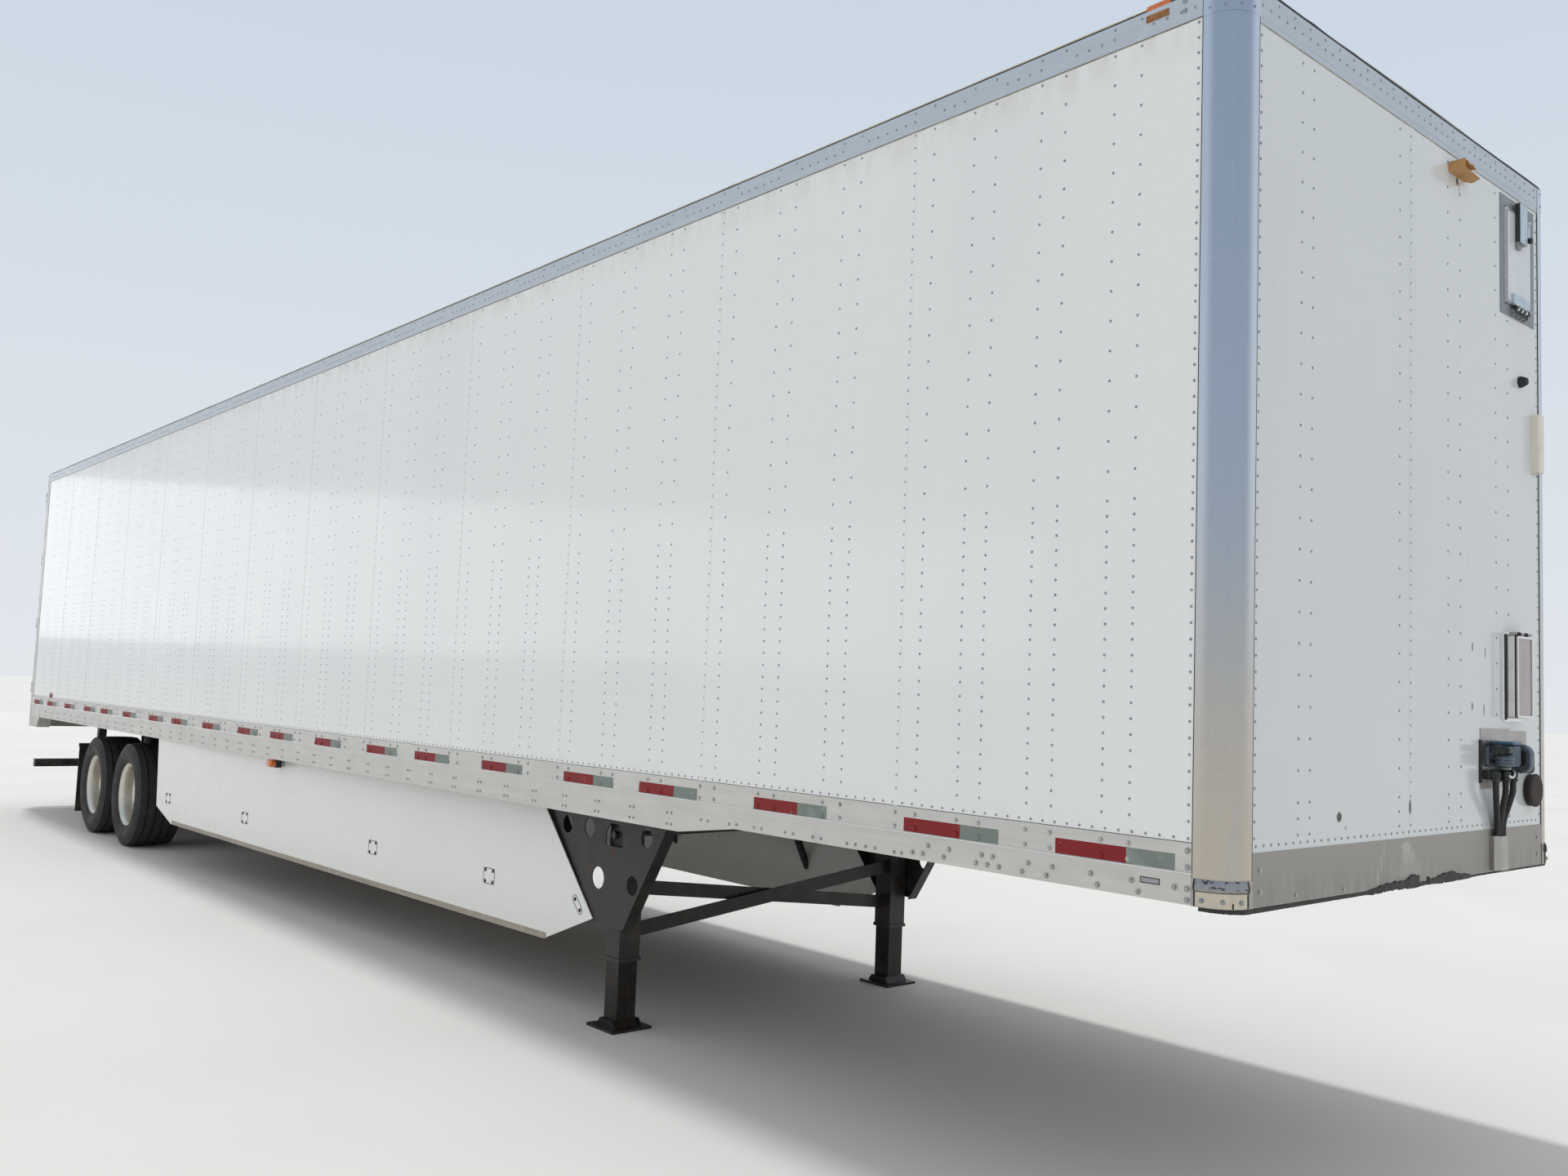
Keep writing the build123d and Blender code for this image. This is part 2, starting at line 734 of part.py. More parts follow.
def crank_shaft():
    """Cross shaft between the legs, its stub on the kerb side and the folded crank on the road side."""
    inside, outside = leg_y - leg_outer / 2, leg_y + leg_outer / 2
    z, r, low = shaft_height, shaft_radius, shaft_height - crank_length
    middle = rod((leg_x, -inside, z), (leg_x, inside, z), r)
    stub = rod((leg_x, -outside - 24, z), (leg_x, -outside, z), r + 6)
    arm_y = wing_y + 40
    arm = block((leg_x - crank_bar / 2, leg_x + crank_bar / 2), (arm_y, arm_y + 10), (low, z + 20))
    grip = rod((leg_x, arm_y + 10, low + 15), (leg_x, arm_y + 10 + crank_grip, low + 15), r)
    return [middle, stub, joined(rod((leg_x, outside, z), (leg_x, arm_y, z), r), arm, grip)]


def skirt_y(x):
    share = (x - skirt_rear_x) / (skirt_front_x - skirt_rear_x)
    return skirt_rear_y + (skirt_front_y - skirt_rear_y) * share


def skirts():
    rear, front = skirt_rear_x, skirt_front_x
    outline = [(rear, coupler_height), (rear + 70, skirt_rear_high), (rear + 498, skirt_low),
               (front - 454, skirt_low), (front, skirt_front_high), (front - 572, coupler_height)]
    face = face_of([(x, skirt_y(x), z) for x, z in outline])
    way = Vector(skirt_rear_y - skirt_front_y, front - rear, 0).normalized() * -skirt_sheet
    return both_sides(Solid.extrude(face, way))


def skirt_struts():
    struts = []
    for along in strut_from_rear:
        x = skirt_rear_x + along
        y = skirt_y(x + strut_width) - skirt_sheet - 1
        outline = [(y, strut_low), (y, strut_low + strut_bar), (strut_in, coupler_height),
                   (strut_in - strut_bar, coupler_height)]
        struts += both_sides(prism("x", outline, (x, x + strut_width)))
    return struts


def tyre(x, y):
    """Wide single tyre with flat side walls and bevelled shoulders."""
    s, bore = tyre_width / 2, rim_radius + seat_gap
    edge = tyre_radius - tyre_shoulder
    outline = [(-s, bore), (-s, edge), (-s + tyre_shoulder, tyre_radius), (s - tyre_shoulder, tyre_radius),
               (s, edge), (s, bore)]
    return turned("y", (x, y, tyre_radius), outline)


def wheel(x, y):
    """Wheel with its hub and brake drum, turned as one; its open bowl faces the road side."""
    w, inside = rim_half_width, rim_radius - rim_wall
    back = disc_out - disc_plate
    # columns: distance out from the middle plane, radius
    bore, cap = spindle_radius + running_fit, spindle_reach + 10
    outline = [(w, rim_radius), (w, inside), (disc_out, inside), (disc_out, hub_radius),
               (hub_out, hub_radius), (hub_out, 0), (cap, 0), (cap, bore), (back - drum_width, bore),
               (back - drum_width, drum_radius), (back, drum_radius), (back, inside), (-w, inside),
               (-w, rim_radius)]
    side = 1 if y > 0 else -1
    return turned("y", (x, y, tyre_radius), [(side * s, radius) for s, radius in outline])


def axles():
    """Axle tubes with their brake spiders, cam shafts, brake chambers and spindles."""
    pieces = []
    z = tyre_radius
    end = tyre_y - axle_end_inset
    for x in (front_axle_x, rear_axle_x):
        whole = rod((x, -end, z), (x, end, z), axle_tube_radius)
        cam_x, cam_z = x + cam_ahead, z + cam_rise
        for side in (1, -1):
            hub_y, chamber_y = side * end, side * chamber_from_middle
            spider = rod((x, hub_y, z), (x, side * (end + spider_plate), z), spider_radius)
            spindle = rod((x, hub_y, z), (x, side * (tyre_y + spindle_reach), z), spindle_radius)
            pad = block((x - 60, x + 60), (side * bogie_y - 55, side * bogie_y + 55),
                        (z, pivot_height - arm_height / 2))
            chamber = rod((x + 190, chamber_y, z + 40), (x + 400, chamber_y, z + 40), chamber_radius)
            carrier = block((x, x + 190), (chamber_y - 30, chamber_y + 30), (z + 20, z + 50))
            cam = rod((cam_x, side * (chamber_from_middle - 30), cam_z),
                      (cam_x, side * (end + spider_plate), cam_z), cam_radius)
            web = block((x, cam_x), (hub_y - 8, hub_y + 8), (z - 20, cam_z + 20))
            whole = joined(whole, spider, spindle, pad, chamber, carrier, cam, web)
        pieces.append(whole)
    return pieces


def body_rails():
    """Rails under the cross members that the tandem's frame slides along."""
    high, t = coupler_height, body_rail_sheet
    low = high - body_rail_height
    inner, outer = bogie_y - bogie_rail_width / 2 - body_rail_lip, bogie_y + bogie_rail_width / 2
    outline = [(inner, high), (outer, high), (outer, low), (outer - t, low), (outer - t, high - t),
               (inner, high - t)]
    rail = prism("x", outline, (tail + body_rail_ends[0], front_axle_x + body_rail_ends[1]))
    return both_sides(rail)


def bogie_high():
    return coupler_height - body_rail_sheet - seat_gap


def bogie_frame():
    high = bogie_high()
    low = high - bogie_rail_height
    inner = bogie_y - bogie_rail_width / 2
    outer = bogie_y + bogie_rail_width / 2 - body_rail_sheet - seat_gap
    pin_reach = arm_width / 2 + 17
    frame = None
    for side in (1, -1):
        rail = block((bogie_rear_x, bogie_front_x), (side * inner, side * outer), (low, high))
        frame = rail if frame is None else frame + rail
    for x in (bogie_rear_x + 60, front_axle_x - spring_behind, front_axle_x + pivot_ahead + 90):
        frame = frame + block((x - 35, x + 35), (-inner, inner), (low + 20, high - 10))
    for axle in (front_axle_x, rear_axle_x):
        x = axle + pivot_ahead
        outline = [(x - 120, low), (x + 120, low), (x + 60, pivot_height - 70), (x - 60, pivot_height - 70)]
        for side in (1, -1):
            for y in (bogie_y - arm_width / 2 - 10, bogie_y + arm_width / 2 + 2):
                frame = frame + prism("y", outline, sorted((side * y, side * (y + 8))))
            frame = frame + rod((x, side * (bogie_y - pin_reach), pivot_height),
                                (x, side * (bogie_y + pin_reach), pivot_height), pivot_pin_radius)
    return [frame]


def trailing_arms():
    arms = []
    for axle in (front_axle_x, rear_axle_x):
        pivot = axle + pivot_ahead
        h = arm_height / 2
        seat, tail_end = pivot_height + spring_seat, axle - spring_behind - 110
        z, eye = pivot_height, arm_eye_radius
        outline = [(pivot + eye, z - 30), (pivot + eye, z + 30), (pivot, z + eye),
                   (axle + 120, z + h), (axle - 90, z + h), (axle - spring_behind + 100, seat),
                   (tail_end, seat), (tail_end, z - 30), (axle - 90, z - h), (axle + 120, z - h),
                   (pivot, z - eye)]
        arm = prism("y", outline, (bogie_y - arm_width / 2, bogie_y + arm_width / 2))
        bore = rod((pivot, bogie_y - arm_width, z), (pivot, bogie_y + arm_width, z),
                   pivot_pin_radius + seat_gap)
        arms += both_sides(arm - bore)
    return arms


def air_springs():
    """Rolling lobe bags between the arms' tails and the frame."""
    bags = []
    low = pivot_height + spring_seat
    tall = bogie_high() - bogie_rail_height - low
    piston, neck = spring_radius * 0.7, tall * 0.35
    outline = [(0, 0), (0, piston), (neck, piston), (neck, spring_radius), (tall - 20, spring_radius),
               (tall, spring_radius - 30), (tall, 0)]
    for axle in (front_axle_x, rear_axle_x):
        bags += both_sides(turned("z", (axle - spring_behind, bogie_y, low), outline))
    return bags


def air_tank():
    """Reservoir hung by two bands from the tandem frame's front beam."""
    low = bogie_high() - bogie_rail_height
    x, z = front_axle_x + pivot_ahead + 90, low - 90
    tank = turned("y", (x, 0, z), [(-380, 0), (-380, 70), (-345, 105), (345, 105), (380, 70), (380, 0)])
    for y in (-220, 180):
        tank = tank + block((x - 8, x + 8), (y, y + 40), (z + 90, low + 20))
    return [tank]


def mud_flaps():
    flap = block((flap_x, flap_x + flap_sheet), (flap_out - flap_width, flap_out), (flap_low, flap_high))
    return both_sides(flap)


def flap_hangers():
    """Bar over each mud flap, with its arm back to the tandem frame."""
    x = (flap_x - flap_bar / 4, flap_x + flap_bar / 2)
    post = (bogie_y - flap_bar, bogie_y + flap_bar / 2)
    high = bogie_high() - flap_bar
    bar = joined(block(x, (post[0], flap_out + 5), (flap_high, flap_high + flap_bar)),
                 block(x, post, (flap_high, high)),
                 block((x[0], bogie_rear_x), post, (high - flap_bar, high)))
    return both_sides(bar)


def underride_guard():
    bar = block((tail, tail + guard_bar_depth), (-guard_bar_half, guard_bar_half),
                (guard_bar_low, guard_bar_low + guard_bar_height))
    top = guard_bar_low + guard_bar_height
    whole = bar
    for side in (1, -1):
        y = (side * guard_leg_y - guard_leg_width / 2, side * guard_leg_y + guard_leg_width / 2)
        outline = [(tail + 10, top), (tail + 80, top), (tail + 110, sill_low), (tail + 20, sill_low)]
        whole = joined(whole, prism("y", outline, y))
    return [whole]


def marker_lamps():
    """Amber lamps: one under each bottom rail, one on each top rail near the nose."""
    low = rail_low_rear
    lamp = joined(block((80, 165), (rail_face - 34, rail_face - 6), (low - 14, low)),
                  block((85, 160), (rail_face - 30, rail_face + 1), (low - 46, low - 14)))
    t, edge = top_rail_high, half - roof_inset + seat_gap
    top = prism("x", [(rail_face, t), (rail_face, t + 16), (rail_face - 14, t + 28), (rail_face - 40, t + 28),
                      (rail_face - 52, t + 16), (rail_face - 52, t + 5), (edge, t + 5), (edge, t)],
                (nose - 342, nose - 252))
    return both_sides(lamp) + both_sides(top)


def vent_frame():
    wide, high = vent_leaf_width / 2, vent_leaf_height / 2
    b = vent_frame_band
    low, top = vent_z - high - vent_gap, vent_z + high + vent_top_gap
    inner, outer = wide + vent_gap, wide + b
    plate = block((nose_panel_face, nose_rail_face), (vent_y - outer, vent_y + outer), (low - b, top + b - 3))
    hole = block((nose_panel_face - 1, nose), (vent_y - inner, vent_y + inner), (low, top))
    ring = plate - hole
    pin = (nose + vent_hinge_out, vent_z - high - vent_hinge_drop)
    for i in range(4):
        y = vent_y - 74 + 42 * i
        web = block((nose_panel_face + 1, pin[0]), (y, y + 20), (pin[1] - 30, pin[1] - 2))
        ring = ring + joined(web, rod((pin[0], y, pin[1]), (pin[0], y + 20, pin[1]), vent_knuckle_radius))
    return [ring + rod((pin[0], vent_y - 74, pin[1]), (pin[0], vent_y + 72, pin[1]), 3)]


def vent_door():
    wide, high = vent_leaf_width / 2, vent_leaf_height / 2
    leaf = block((nose_panel_face - vent_leaf_deep, nose_panel_face + vent_leaf_proud),
                 (vent_y - wide, vent_y + wide), (vent_z - high, vent_z + high))
    pin = (nose + vent_hinge_out, vent_z - high - vent_hinge_drop)
    face = nose_panel_face + vent_leaf_proud
    low = vent_z - high
    strap = block((face, face + 4), (vent_y - 73, vent_y + 71), (low, low + vent_strap_height))
    whole = joined(leaf, strap)
    for i in range(3):
        y = vent_y - 74 + 42 * i + 21
        ear = joined(block((face, pin[0]), (y, y + 20), (pin[1] + 1, vent_z - high + 6)),
                     rod((pin[0], y, pin[1]), (pin[0], y + 20, pin[1]), vent_knuckle_radius))
        whole = whole + (ear - rod((pin[0], y - 1, pin[1]), (pin[0], y + 21, pin[1]), 3.4))
    return [whole]


def vent_latch():
    """Latch case, its foot, and the pull beside it with a double knob."""
    face = nose_panel_face + vent_leaf_proud
    (right, left), (low, high) = latch_y, latch_z
    y, (pull_low, pull_high) = latch_pin_y, latch_pin_z
    x, r, knob = face + latch_depth - latch_pin_radius, latch_knob_radius, latch_knob_length
    case = block((face, face + latch_depth), latch_y, latch_z)
    middle = (left + right) / 2
    foot = block((face, face + latch_foot_depth), (right, middle), (low - latch_foot_drop, low))
    stem = rod((x, y, pull_low), (x, y, pull_high), latch_pin_radius)
    arm = block((x - latch_pin_radius, x + latch_pin_radius), (left, y + 6), (pull_high - 15, pull_high))
    waist = r * 0.6
    spool = [(0, 0), (0, r), (knob * 0.4, r), (knob * 0.5, waist), (knob * 0.6, r), (knob, r), (knob, 0)]
    return [joined(case, foot, stem, arm, turned("x", (face + 2, y, pull_low), spool))]


def rubber_stops():
    r, d = stop_radius, stop_depth
    stop = turned("x", (nose_panel_face, stop_y, stop_z), [(0, 0), (0, r), (d / 3, r), (d, r * 0.6), (d, 0)])
    r, d = disc_radius, disc_depth
    disc = turned("x", (nose_panel_face, disc_y, disc_z),
                  [(0, 0), (0, r), (d - 6, r), (d, r - 6), (d, r * 0.4), (d - 6, r * 0.3), (d - 6, 0)])
    return [stop, disc]


def nose_plate():
    return [block((nose_panel_face, nose_rail_face), plate_y, plate_z)]


def air_coupling(y):
    """Claw coupling that stands out of the nose, with its seal facing down."""
    face, z = nose_rail_face, coupling_height
    foot = block((face, face + 10), (y - 26, y + 26), (z - 34, z + 44))
    neck = block((face + 10, face + 62), (y - 15, y + 15), (z - 4, z + 28))
    cup = rod((face + 58, y, z - 30), (face + 58, y, z + 6), 37)
    outline = [(y - 33, z + 6), (y + 33, z + 6), (y + 18, z + 48), (y - 18, z + 48)]
    claw = prism("x", outline, (face + 30, face + 44))
    return joined(foot, neck, cup, claw)


def turned_coupling(y):
    """The same coupling hung with its seal to the side."""
    face, z = nose_rail_face, coupling_height
    foot = block((face, face + 10), (y - 26, y + 26), (z - 34, z + 44))
    neck = block((face + 10, face + 40), (y - 14, y + 14), (z - 14, z + 14))
    ring = rod((face + 62, y - 16, z), (face + 62, y + 16, z), 44)
    seal = rod((face + 62, y - 17, z), (face + 62, y - 4, z), 27)
    lug = block((face + 46, face + 78), (y - 12, y + 12), (z - 60, z - 38))
    return joined(foot, neck, ring, lug) - seal


def nose_couplings():
    """Power socket, an air coupling on each side of it, and the ports of their lines."""
    face = nose_rail_face
    y, z = socket_y, coupling_height + 22
    socket = joined(block((face, face + 38), (y - 38, y + 38), (z - 48, z + 46)),
                    rod((face + 38, y, z - 2), (face + 66, y, z - 2), 36),
                    block((face + 66, face + 72), (y - 40, y + 40), (z - 44, z + 42)))
    low = port_height - port_length
    ports = block((face, face + 30), (port_y[0] - 22, port_y[-1] + 22), (port_height - 34, port_height))
    for y in port_y:
        ports = joined(ports, rod((face + port_out, y, low), (face + port_out, y, port_height), port_radius),
                       block((face, face + port_out), (y - 12, y + 12), (port_height - 30, port_height - 4)))
    return [socket, air_coupling(left_coupling_y), turned_coupling(right_coupling_y), ports]


def hose(points, radius):
    """A tube along straight runs with rounded turns."""
    runs = [(Vector(*b) - Vector(*a)) for a, b in zip(points, points[1:])]
    radii = []
    for first, second in zip(runs, runs[1:]):
        turn = math.radians(first.get_angle(second))
        radii.append(0.45 * min(first.length, second.length) / math.tan(turn / 2))
    path = FilletPolyline(*points, radius=radii)
    start = Plane(origin=points[0], z_dir=runs[0])
    print("hose turn radii", [round(r) for r in radii])
    return sweep(start * Circle(radius), path=path).solid()


def service_hoses():
    """One hose from each port down into the cover, where they lie side by side."""
    x, top = nose_rail_face, port_height - port_length
    middle = sum(cover_y) / 2
    hoses = []
    for i, y in enumerate(port_y):
        high_x, low_x, low_y = x + port_out, x + hose_low_out, middle + (i - 1) * hose_pitch
        points = [(high_x, y, top), (high_x, y, top - 40),
                  (low_x, low_y, cover_z[1] + 50), (low_x, low_y, cover_z[1] - 20)]
        hoses.append(hose(points, hose_radius))
    return hoses


def hose_cover():
    """Bevelled channel that leads the hoses down over the nose rail."""
    x, (right, left), t, b = nose_rail_face, cover_y, cover_sheet, cover_bevel
    depth = cover_depth
    outline = [(x, right), (x + depth - b, right), (x + depth, right + b), (x + depth, left - b),
               (x + depth - b, left), (x, left), (x, left - t), (x + depth - b - t / 2, left - t),
               (x + depth - t, left - b - t / 2), (x + depth - t, right + b + t / 2),
               (x + depth - b - t / 2, right + t), (x, right + t)]
    return [prism("z", outline, cover_z)]


def lid_pin():
    """Place of the lid's hinge pin, in X and Z."""
    return nose_panel_face + box_depth + lid_gap, box_z[1] + lid_hinge_radius + 3


def document_box():
    x = (nose_panel_face, nose_panel_face + box_depth)
    tray = block(x, box_y, box_z)
    w = box_wall
    tray = tray - block((x[0] + w, x[1] + 1), (box_y[0] + w, box_y[1] - w), (box_z[0] + w, box_z[1] - w))
    px, pz = lid_pin()
    for y in (box_y[0], box_y[1] - 15):
        lug = joined(block((x[1] - 20, x[1]), (y, y + 15), (box_z[1], pz + lid_hinge_radius)),
                     block((x[1], px), (y, y + 15), (box_z[1] + 3, pz + lid_hinge_radius)),
                     rod((px, y, pz), (px, y + 15, pz), lid_hinge_radius))
        tray = tray + lug
    return [tray + rod((px, box_y[0], pz), (px, box_y[1], pz), lid_pin_radius)]


def document_lid():
    px, pz = lid_pin()
    lid = block((px, px + lid_sheet), (box_y[0] + 1, box_y[1] - 1), (box_z[0] + 2, box_z[1] - 2))
    neck = block((px, px + lid_sheet), (box_y[0] + 20, box_y[1] - 20), (box_z[1] - 2, pz))
    barrel = rod((px, box_y[0] + 20, pz), (px, box_y[1] - 20, pz), lid_hinge_radius)
    bore = rod((px, box_y[0], pz), (px, box_y[1], pz), lid_pin_radius + running_fit)
    return [joined(lid, neck, barrel) - bore]


def telematics_unit():
    x, w, d = nose_panel_face, unit_width / 2, unit_depth
    outline = [(x, unit_y - w), (x + d - 7, unit_y - w + 6), (x + d, unit_y - w + 12),
               (x + d, unit_y + w - 12), (x + d - 7, unit_y + w - 6), (x, unit_y + w)]
    return [prism("z", outline, unit_z)]


def broken_housing():
    """Rest of a lamp housing: its front and one side are broken away to jagged edges."""
    x, (right, left), (low, high), wall = nose_panel_face, housing_y, housing_z, housing_wall
    # columns: distance out from the wall, distance along from the whole side
    top_edge = ((0, 0), (1, 0), (0.92, 15), (0.95, 34), (0.84, 65), (0.9, 88), (0.76, 142), (0.52, 134),
                (0.44, 146), (0, 120))
    low_edge = ((0, 0), (1, 0), (0.96, 60), (0.99, 84), (0.88, 159), (0.62, 164), (0.5, 174), (0.26, 179),
                (0, 143))
    plates = []
    for edge, place in ((top_edge, high - wall), (low_edge, low)):
        outline = [(x + housing_depth * out, right + along) for out, along in edge]
        plates.append(prism("z", outline, (place, place + wall)))
    back = block((x, x + wall), housing_y, housing_z)
    side = block((x, x + housing_depth), (right, right + wall), housing_z)
    return [joined(back, side, *plates)]


def holdbacks():
    x = tail + holdback_ahead
    z = panel_low + panel_lap
    hook = joined(block((x - 30, x + 30), (panel_face, panel_face + 5), (z, z + 60)),
                  block((x - 8, x + 8), (panel_face, panel_face + 20), (z + 20, z + 28)),
                  block((x - 8, x + 8), (panel_face + 14, panel_face + 20), (z + 20, z + 46)))
    return both_sides(hook)


nodes = {
    "side_wall_left": [side_wall()],
    "side_wall_right": [other_side(side_wall())],
    "front_wall": front_wall(),
    "roof": roof(),
    "roof_bows": roof_bows(),
    "floor": floor(),
    "cross_members": cross_members(),
    "bottom_rails": both_sides(bottom_rail()),
    "top_rails": top_rails(),
    "nose_rails": nose_rails(),
    "corner_posts": corner_posts(),
    "corner_guards": corner_guards(),
    "rear_frame": rear_frame(),
    "rear_lamps": rear_lamps(),
    "door_left": [door()],
    "door_right": [other_side(door())],
    "lock_gear_left": [lock_gear()],
    "lock_gear_right": [other_side(lock_gear())],
    "pickup_plate": pickup_plate_and_pin(),
    "landing_brackets": landing_brackets(),
    "leg_tubes": leg_tubes(),
    "leg_feet": leg_feet(),
    "leg_braces": leg_braces(),
    "crank_shaft": crank_shaft(),
    "skirts": skirts(),
    "skirt_struts": skirt_struts(),
    "axles": axles(),
    "body_rails": body_rails(),
    "bogie_frame": bogie_frame(),
    "trailing_arms": trailing_arms(),
    "air_springs": air_springs(),
    "air_tank": air_tank(),
    "mud_flaps": mud_flaps(),
    "flap_hangers": flap_hangers(),
    "underride_guard": underride_guard(),
    "marker_lamps": marker_lamps(),
    "vent_frame": vent_frame(),
    "vent_door": vent_door(),
    "vent_latch": vent_latch(),
    "rubber_stops": rubber_stops(),
    "nose_plate": nose_plate(),
    "nose_couplings": nose_couplings(),
    "service_hoses": service_hoses(),
    "hose_cover": hose_cover(),
    "document_box": document_box(),
    "document_lid": document_lid(),
    "telematics_unit": telematics_unit(),
    "broken_housing": broken_housing(),
    "holdbacks": holdbacks(),
}
for name, x in (("front", front_axle_x), ("rear", rear_axle_x)):
    for side, y in (("left", tyre_y), ("right", -tyre_y)):
        nodes[f"tyre_{name}_{side}"] = [tyre(x, y)]
        nodes[f"wheel_{name}_{side}"] = [wheel(x, y)]

os.makedirs("parts", exist_ok=True)
for name, shapes in nodes.items():
    solids = [solid for shape in shapes for solid in shape.solids()]
    export_step(Compound(solids), f"parts/{name}.step")
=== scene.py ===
import math

import bmesh
import bpy
import numpy as np
from mathutils import Matrix, Vector


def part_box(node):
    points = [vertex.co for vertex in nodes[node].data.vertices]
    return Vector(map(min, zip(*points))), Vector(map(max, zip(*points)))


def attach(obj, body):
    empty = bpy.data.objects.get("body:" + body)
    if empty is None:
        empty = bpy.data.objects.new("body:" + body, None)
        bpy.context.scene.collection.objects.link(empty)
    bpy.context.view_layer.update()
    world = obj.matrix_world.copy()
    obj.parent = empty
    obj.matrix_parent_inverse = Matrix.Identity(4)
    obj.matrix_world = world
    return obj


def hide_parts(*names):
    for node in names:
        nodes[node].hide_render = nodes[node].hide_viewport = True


# Semi trailer, 53 ft dry van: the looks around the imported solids.
# Sizes below are in millimetres, in the solids' own frame: X to the nose, Y to the road side, Z up.

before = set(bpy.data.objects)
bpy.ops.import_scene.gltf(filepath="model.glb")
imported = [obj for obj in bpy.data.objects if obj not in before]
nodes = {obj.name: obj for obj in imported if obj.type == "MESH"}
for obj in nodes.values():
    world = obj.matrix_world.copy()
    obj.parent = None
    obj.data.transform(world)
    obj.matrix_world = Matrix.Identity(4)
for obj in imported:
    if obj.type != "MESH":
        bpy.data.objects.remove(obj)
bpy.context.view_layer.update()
noseX = 8077                    # X of the nose: places along a side are counted back from it
sidePlane = 1289.5              # outer face of the wall panels
railPlane = 1292.5              # outer face of the rails
nosePlane = 8071                # outer face of the nose panel
noseRailPlane = 8074            # outer face of the nose rails
bothSides = (("left", 1), ("right", -1))
print("frame loaded", len(nodes), "nodes")


# Helpers for meshes

# Joins several parts, each a pair of points (n, 3) and a list of face tables, into one piece.
# Every table holds the corner numbers of faces with the same number of corners.
def makePiece(name, parts, finish, body="trailer", weld=False, sharp=35):
    points, corners, counts, start = [], [], [], 0
    for partPoints, tables in parts:
        partPoints = np.asarray(partPoints, float).reshape(-1, 3)
        points.append(partPoints)
        for table in tables:
            corners.append((np.asarray(table) + start).reshape(-1))
            counts.append(np.full(len(table), np.asarray(table).shape[1]))
        start += len(partPoints)
    points, corners, counts = np.concatenate(points), np.concatenate(corners), np.concatenate(counts)
    mesh = bpy.data.meshes.new(name)
    mesh.vertices.add(len(points))
    mesh.vertices.foreach_set("co", (points * 0.001).ravel())
    mesh.loops.add(len(corners))
    mesh.loops.foreach_set("vertex_index", corners.astype(np.int32))
    mesh.polygons.add(len(counts))
    mesh.polygons.foreach_set("loop_start", (np.cumsum(counts) - counts).astype(np.int32))
    mesh.update(calc_edges=True)
    if weld:                    # closed pieces: shared rows are merged, then faces turned outwards
        work = bmesh.new()
        work.from_mesh(mesh)
        bmesh.ops.remove_doubles(work, verts=work.verts, dist=2e-5)
        bmesh.ops.recalc_face_normals(work, faces=work.faces)
        work.to_mesh(mesh)
        work.free()
    mesh.validate()
    mesh.polygons.foreach_set("use_smooth", np.ones(len(mesh.polygons), bool))
    mesh.set_sharp_from_angle(angle=math.radians(sharp))
    piece = bpy.data.objects.new(name, mesh)
    bpy.context.scene.collection.objects.link(piece)
    mesh.materials.append(finishes[finish])
    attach(piece, body)
    return piece


# Points from their place along an axis and in the two ways across it.
def byAxis(axis, along, across, up):
    order = {"x": (along, across, up), "y": (across, along, up), "z": (across, up, along)}[axis]
    return np.stack(np.broadcast_arrays(*order), -1)


# Places as (across, up) pairs, where one of the two may be a single number.
def placesOf(across, up):
    return np.stack(np.broadcast_arrays(across, up), -1)


def onNose(places, plane):
    return byAxis("x", plane, *np.transpose(np.asarray(places, float)))


def onSide(places, plane):
    along, up = np.transpose(np.asarray(places, float))
    return byAxis("y", plane, noseX + along, up)


# Faces of a grid of points with rows and columns, numbered row by row; either way may close on itself.
def gridFaces(rows, columns, closeRows=False, closeColumns=False):
    r = np.arange(rows if closeRows else rows - 1)
    c = np.arange(columns if closeColumns else columns - 1)
    r, c = np.meshgrid(r, c, indexing="ij")
    rNext, cNext = (r + 1) % rows, (c + 1) % columns
    return np.stack([r * columns + c, r * columns + cNext, rNext * columns + cNext, rNext * columns + c],
                    -1).reshape(-1, 4)


# Sections of equal length one after another, as points (n, k, 3), joined and closed at both ends.
def joinedSections(sections):
    n, k = sections.shape[:2]
    ends = np.array([np.arange(k)[::-1], (n - 1) * k + np.arange(k)])
    return sections.reshape(-1, 3), [gridFaces(n, k, closeColumns=True), ends]


# Many equal small heads: a profile of (radius, height) rows is turned about each centre's own outward way,
# point = centre + radius * (cos a * t1 + sin a * t2) + height * outward, and the last row is one pole.
def heads(centres, outward, profile, corners=6):
    centres = np.asarray(centres, float).reshape(-1, 3)
    outward = np.broadcast_to(np.asarray(outward, float), centres.shape)
    outward = outward / np.linalg.norm(outward, axis=1, keepdims=True)
    helper = np.where(np.abs(outward[:, 2:3]) > 0.9, [[1.0, 0, 0]], [[0, 0, 1.0]])
    t1 = np.cross(helper, outward)
    t1 = t1 / np.linalg.norm(t1, axis=1, keepdims=True)
    t2 = np.cross(outward, t1)
    rows = np.array([row for row in profile if row[0] > 0], float)
    a = np.arange(corners) * 2 * math.pi / corners
    ring = np.cos(a)[None, :, None] * t1[:, None, :] + np.sin(a)[None, :, None] * t2[:, None, :]
    radius, height = rows[:, 0][None, :, None, None], rows[:, 1][None, :, None, None]
    body = centres[:, None, None, :] + radius * ring[:, None] + height * outward[:, None, None, :]
    pole = centres + profile[-1][1] * outward
    size = len(rows) * corners + 1
    points = np.concatenate([body.reshape(len(centres), -1, 3), pole[:, None, :]], 1).reshape(-1, 3)
    quads = gridFaces(len(rows), corners, closeColumns=True)
    last, k = (len(rows) - 1) * corners, np.arange(corners)
    fan = np.stack([last + k, last + (k + 1) % corners, np.full(corners, size - 1)], -1)
    first = np.arange(len(centres))[:, None, None] * size
    return points, [(quads[None] + first).reshape(-1, 4), (fan[None] + first).reshape(-1, 3)]


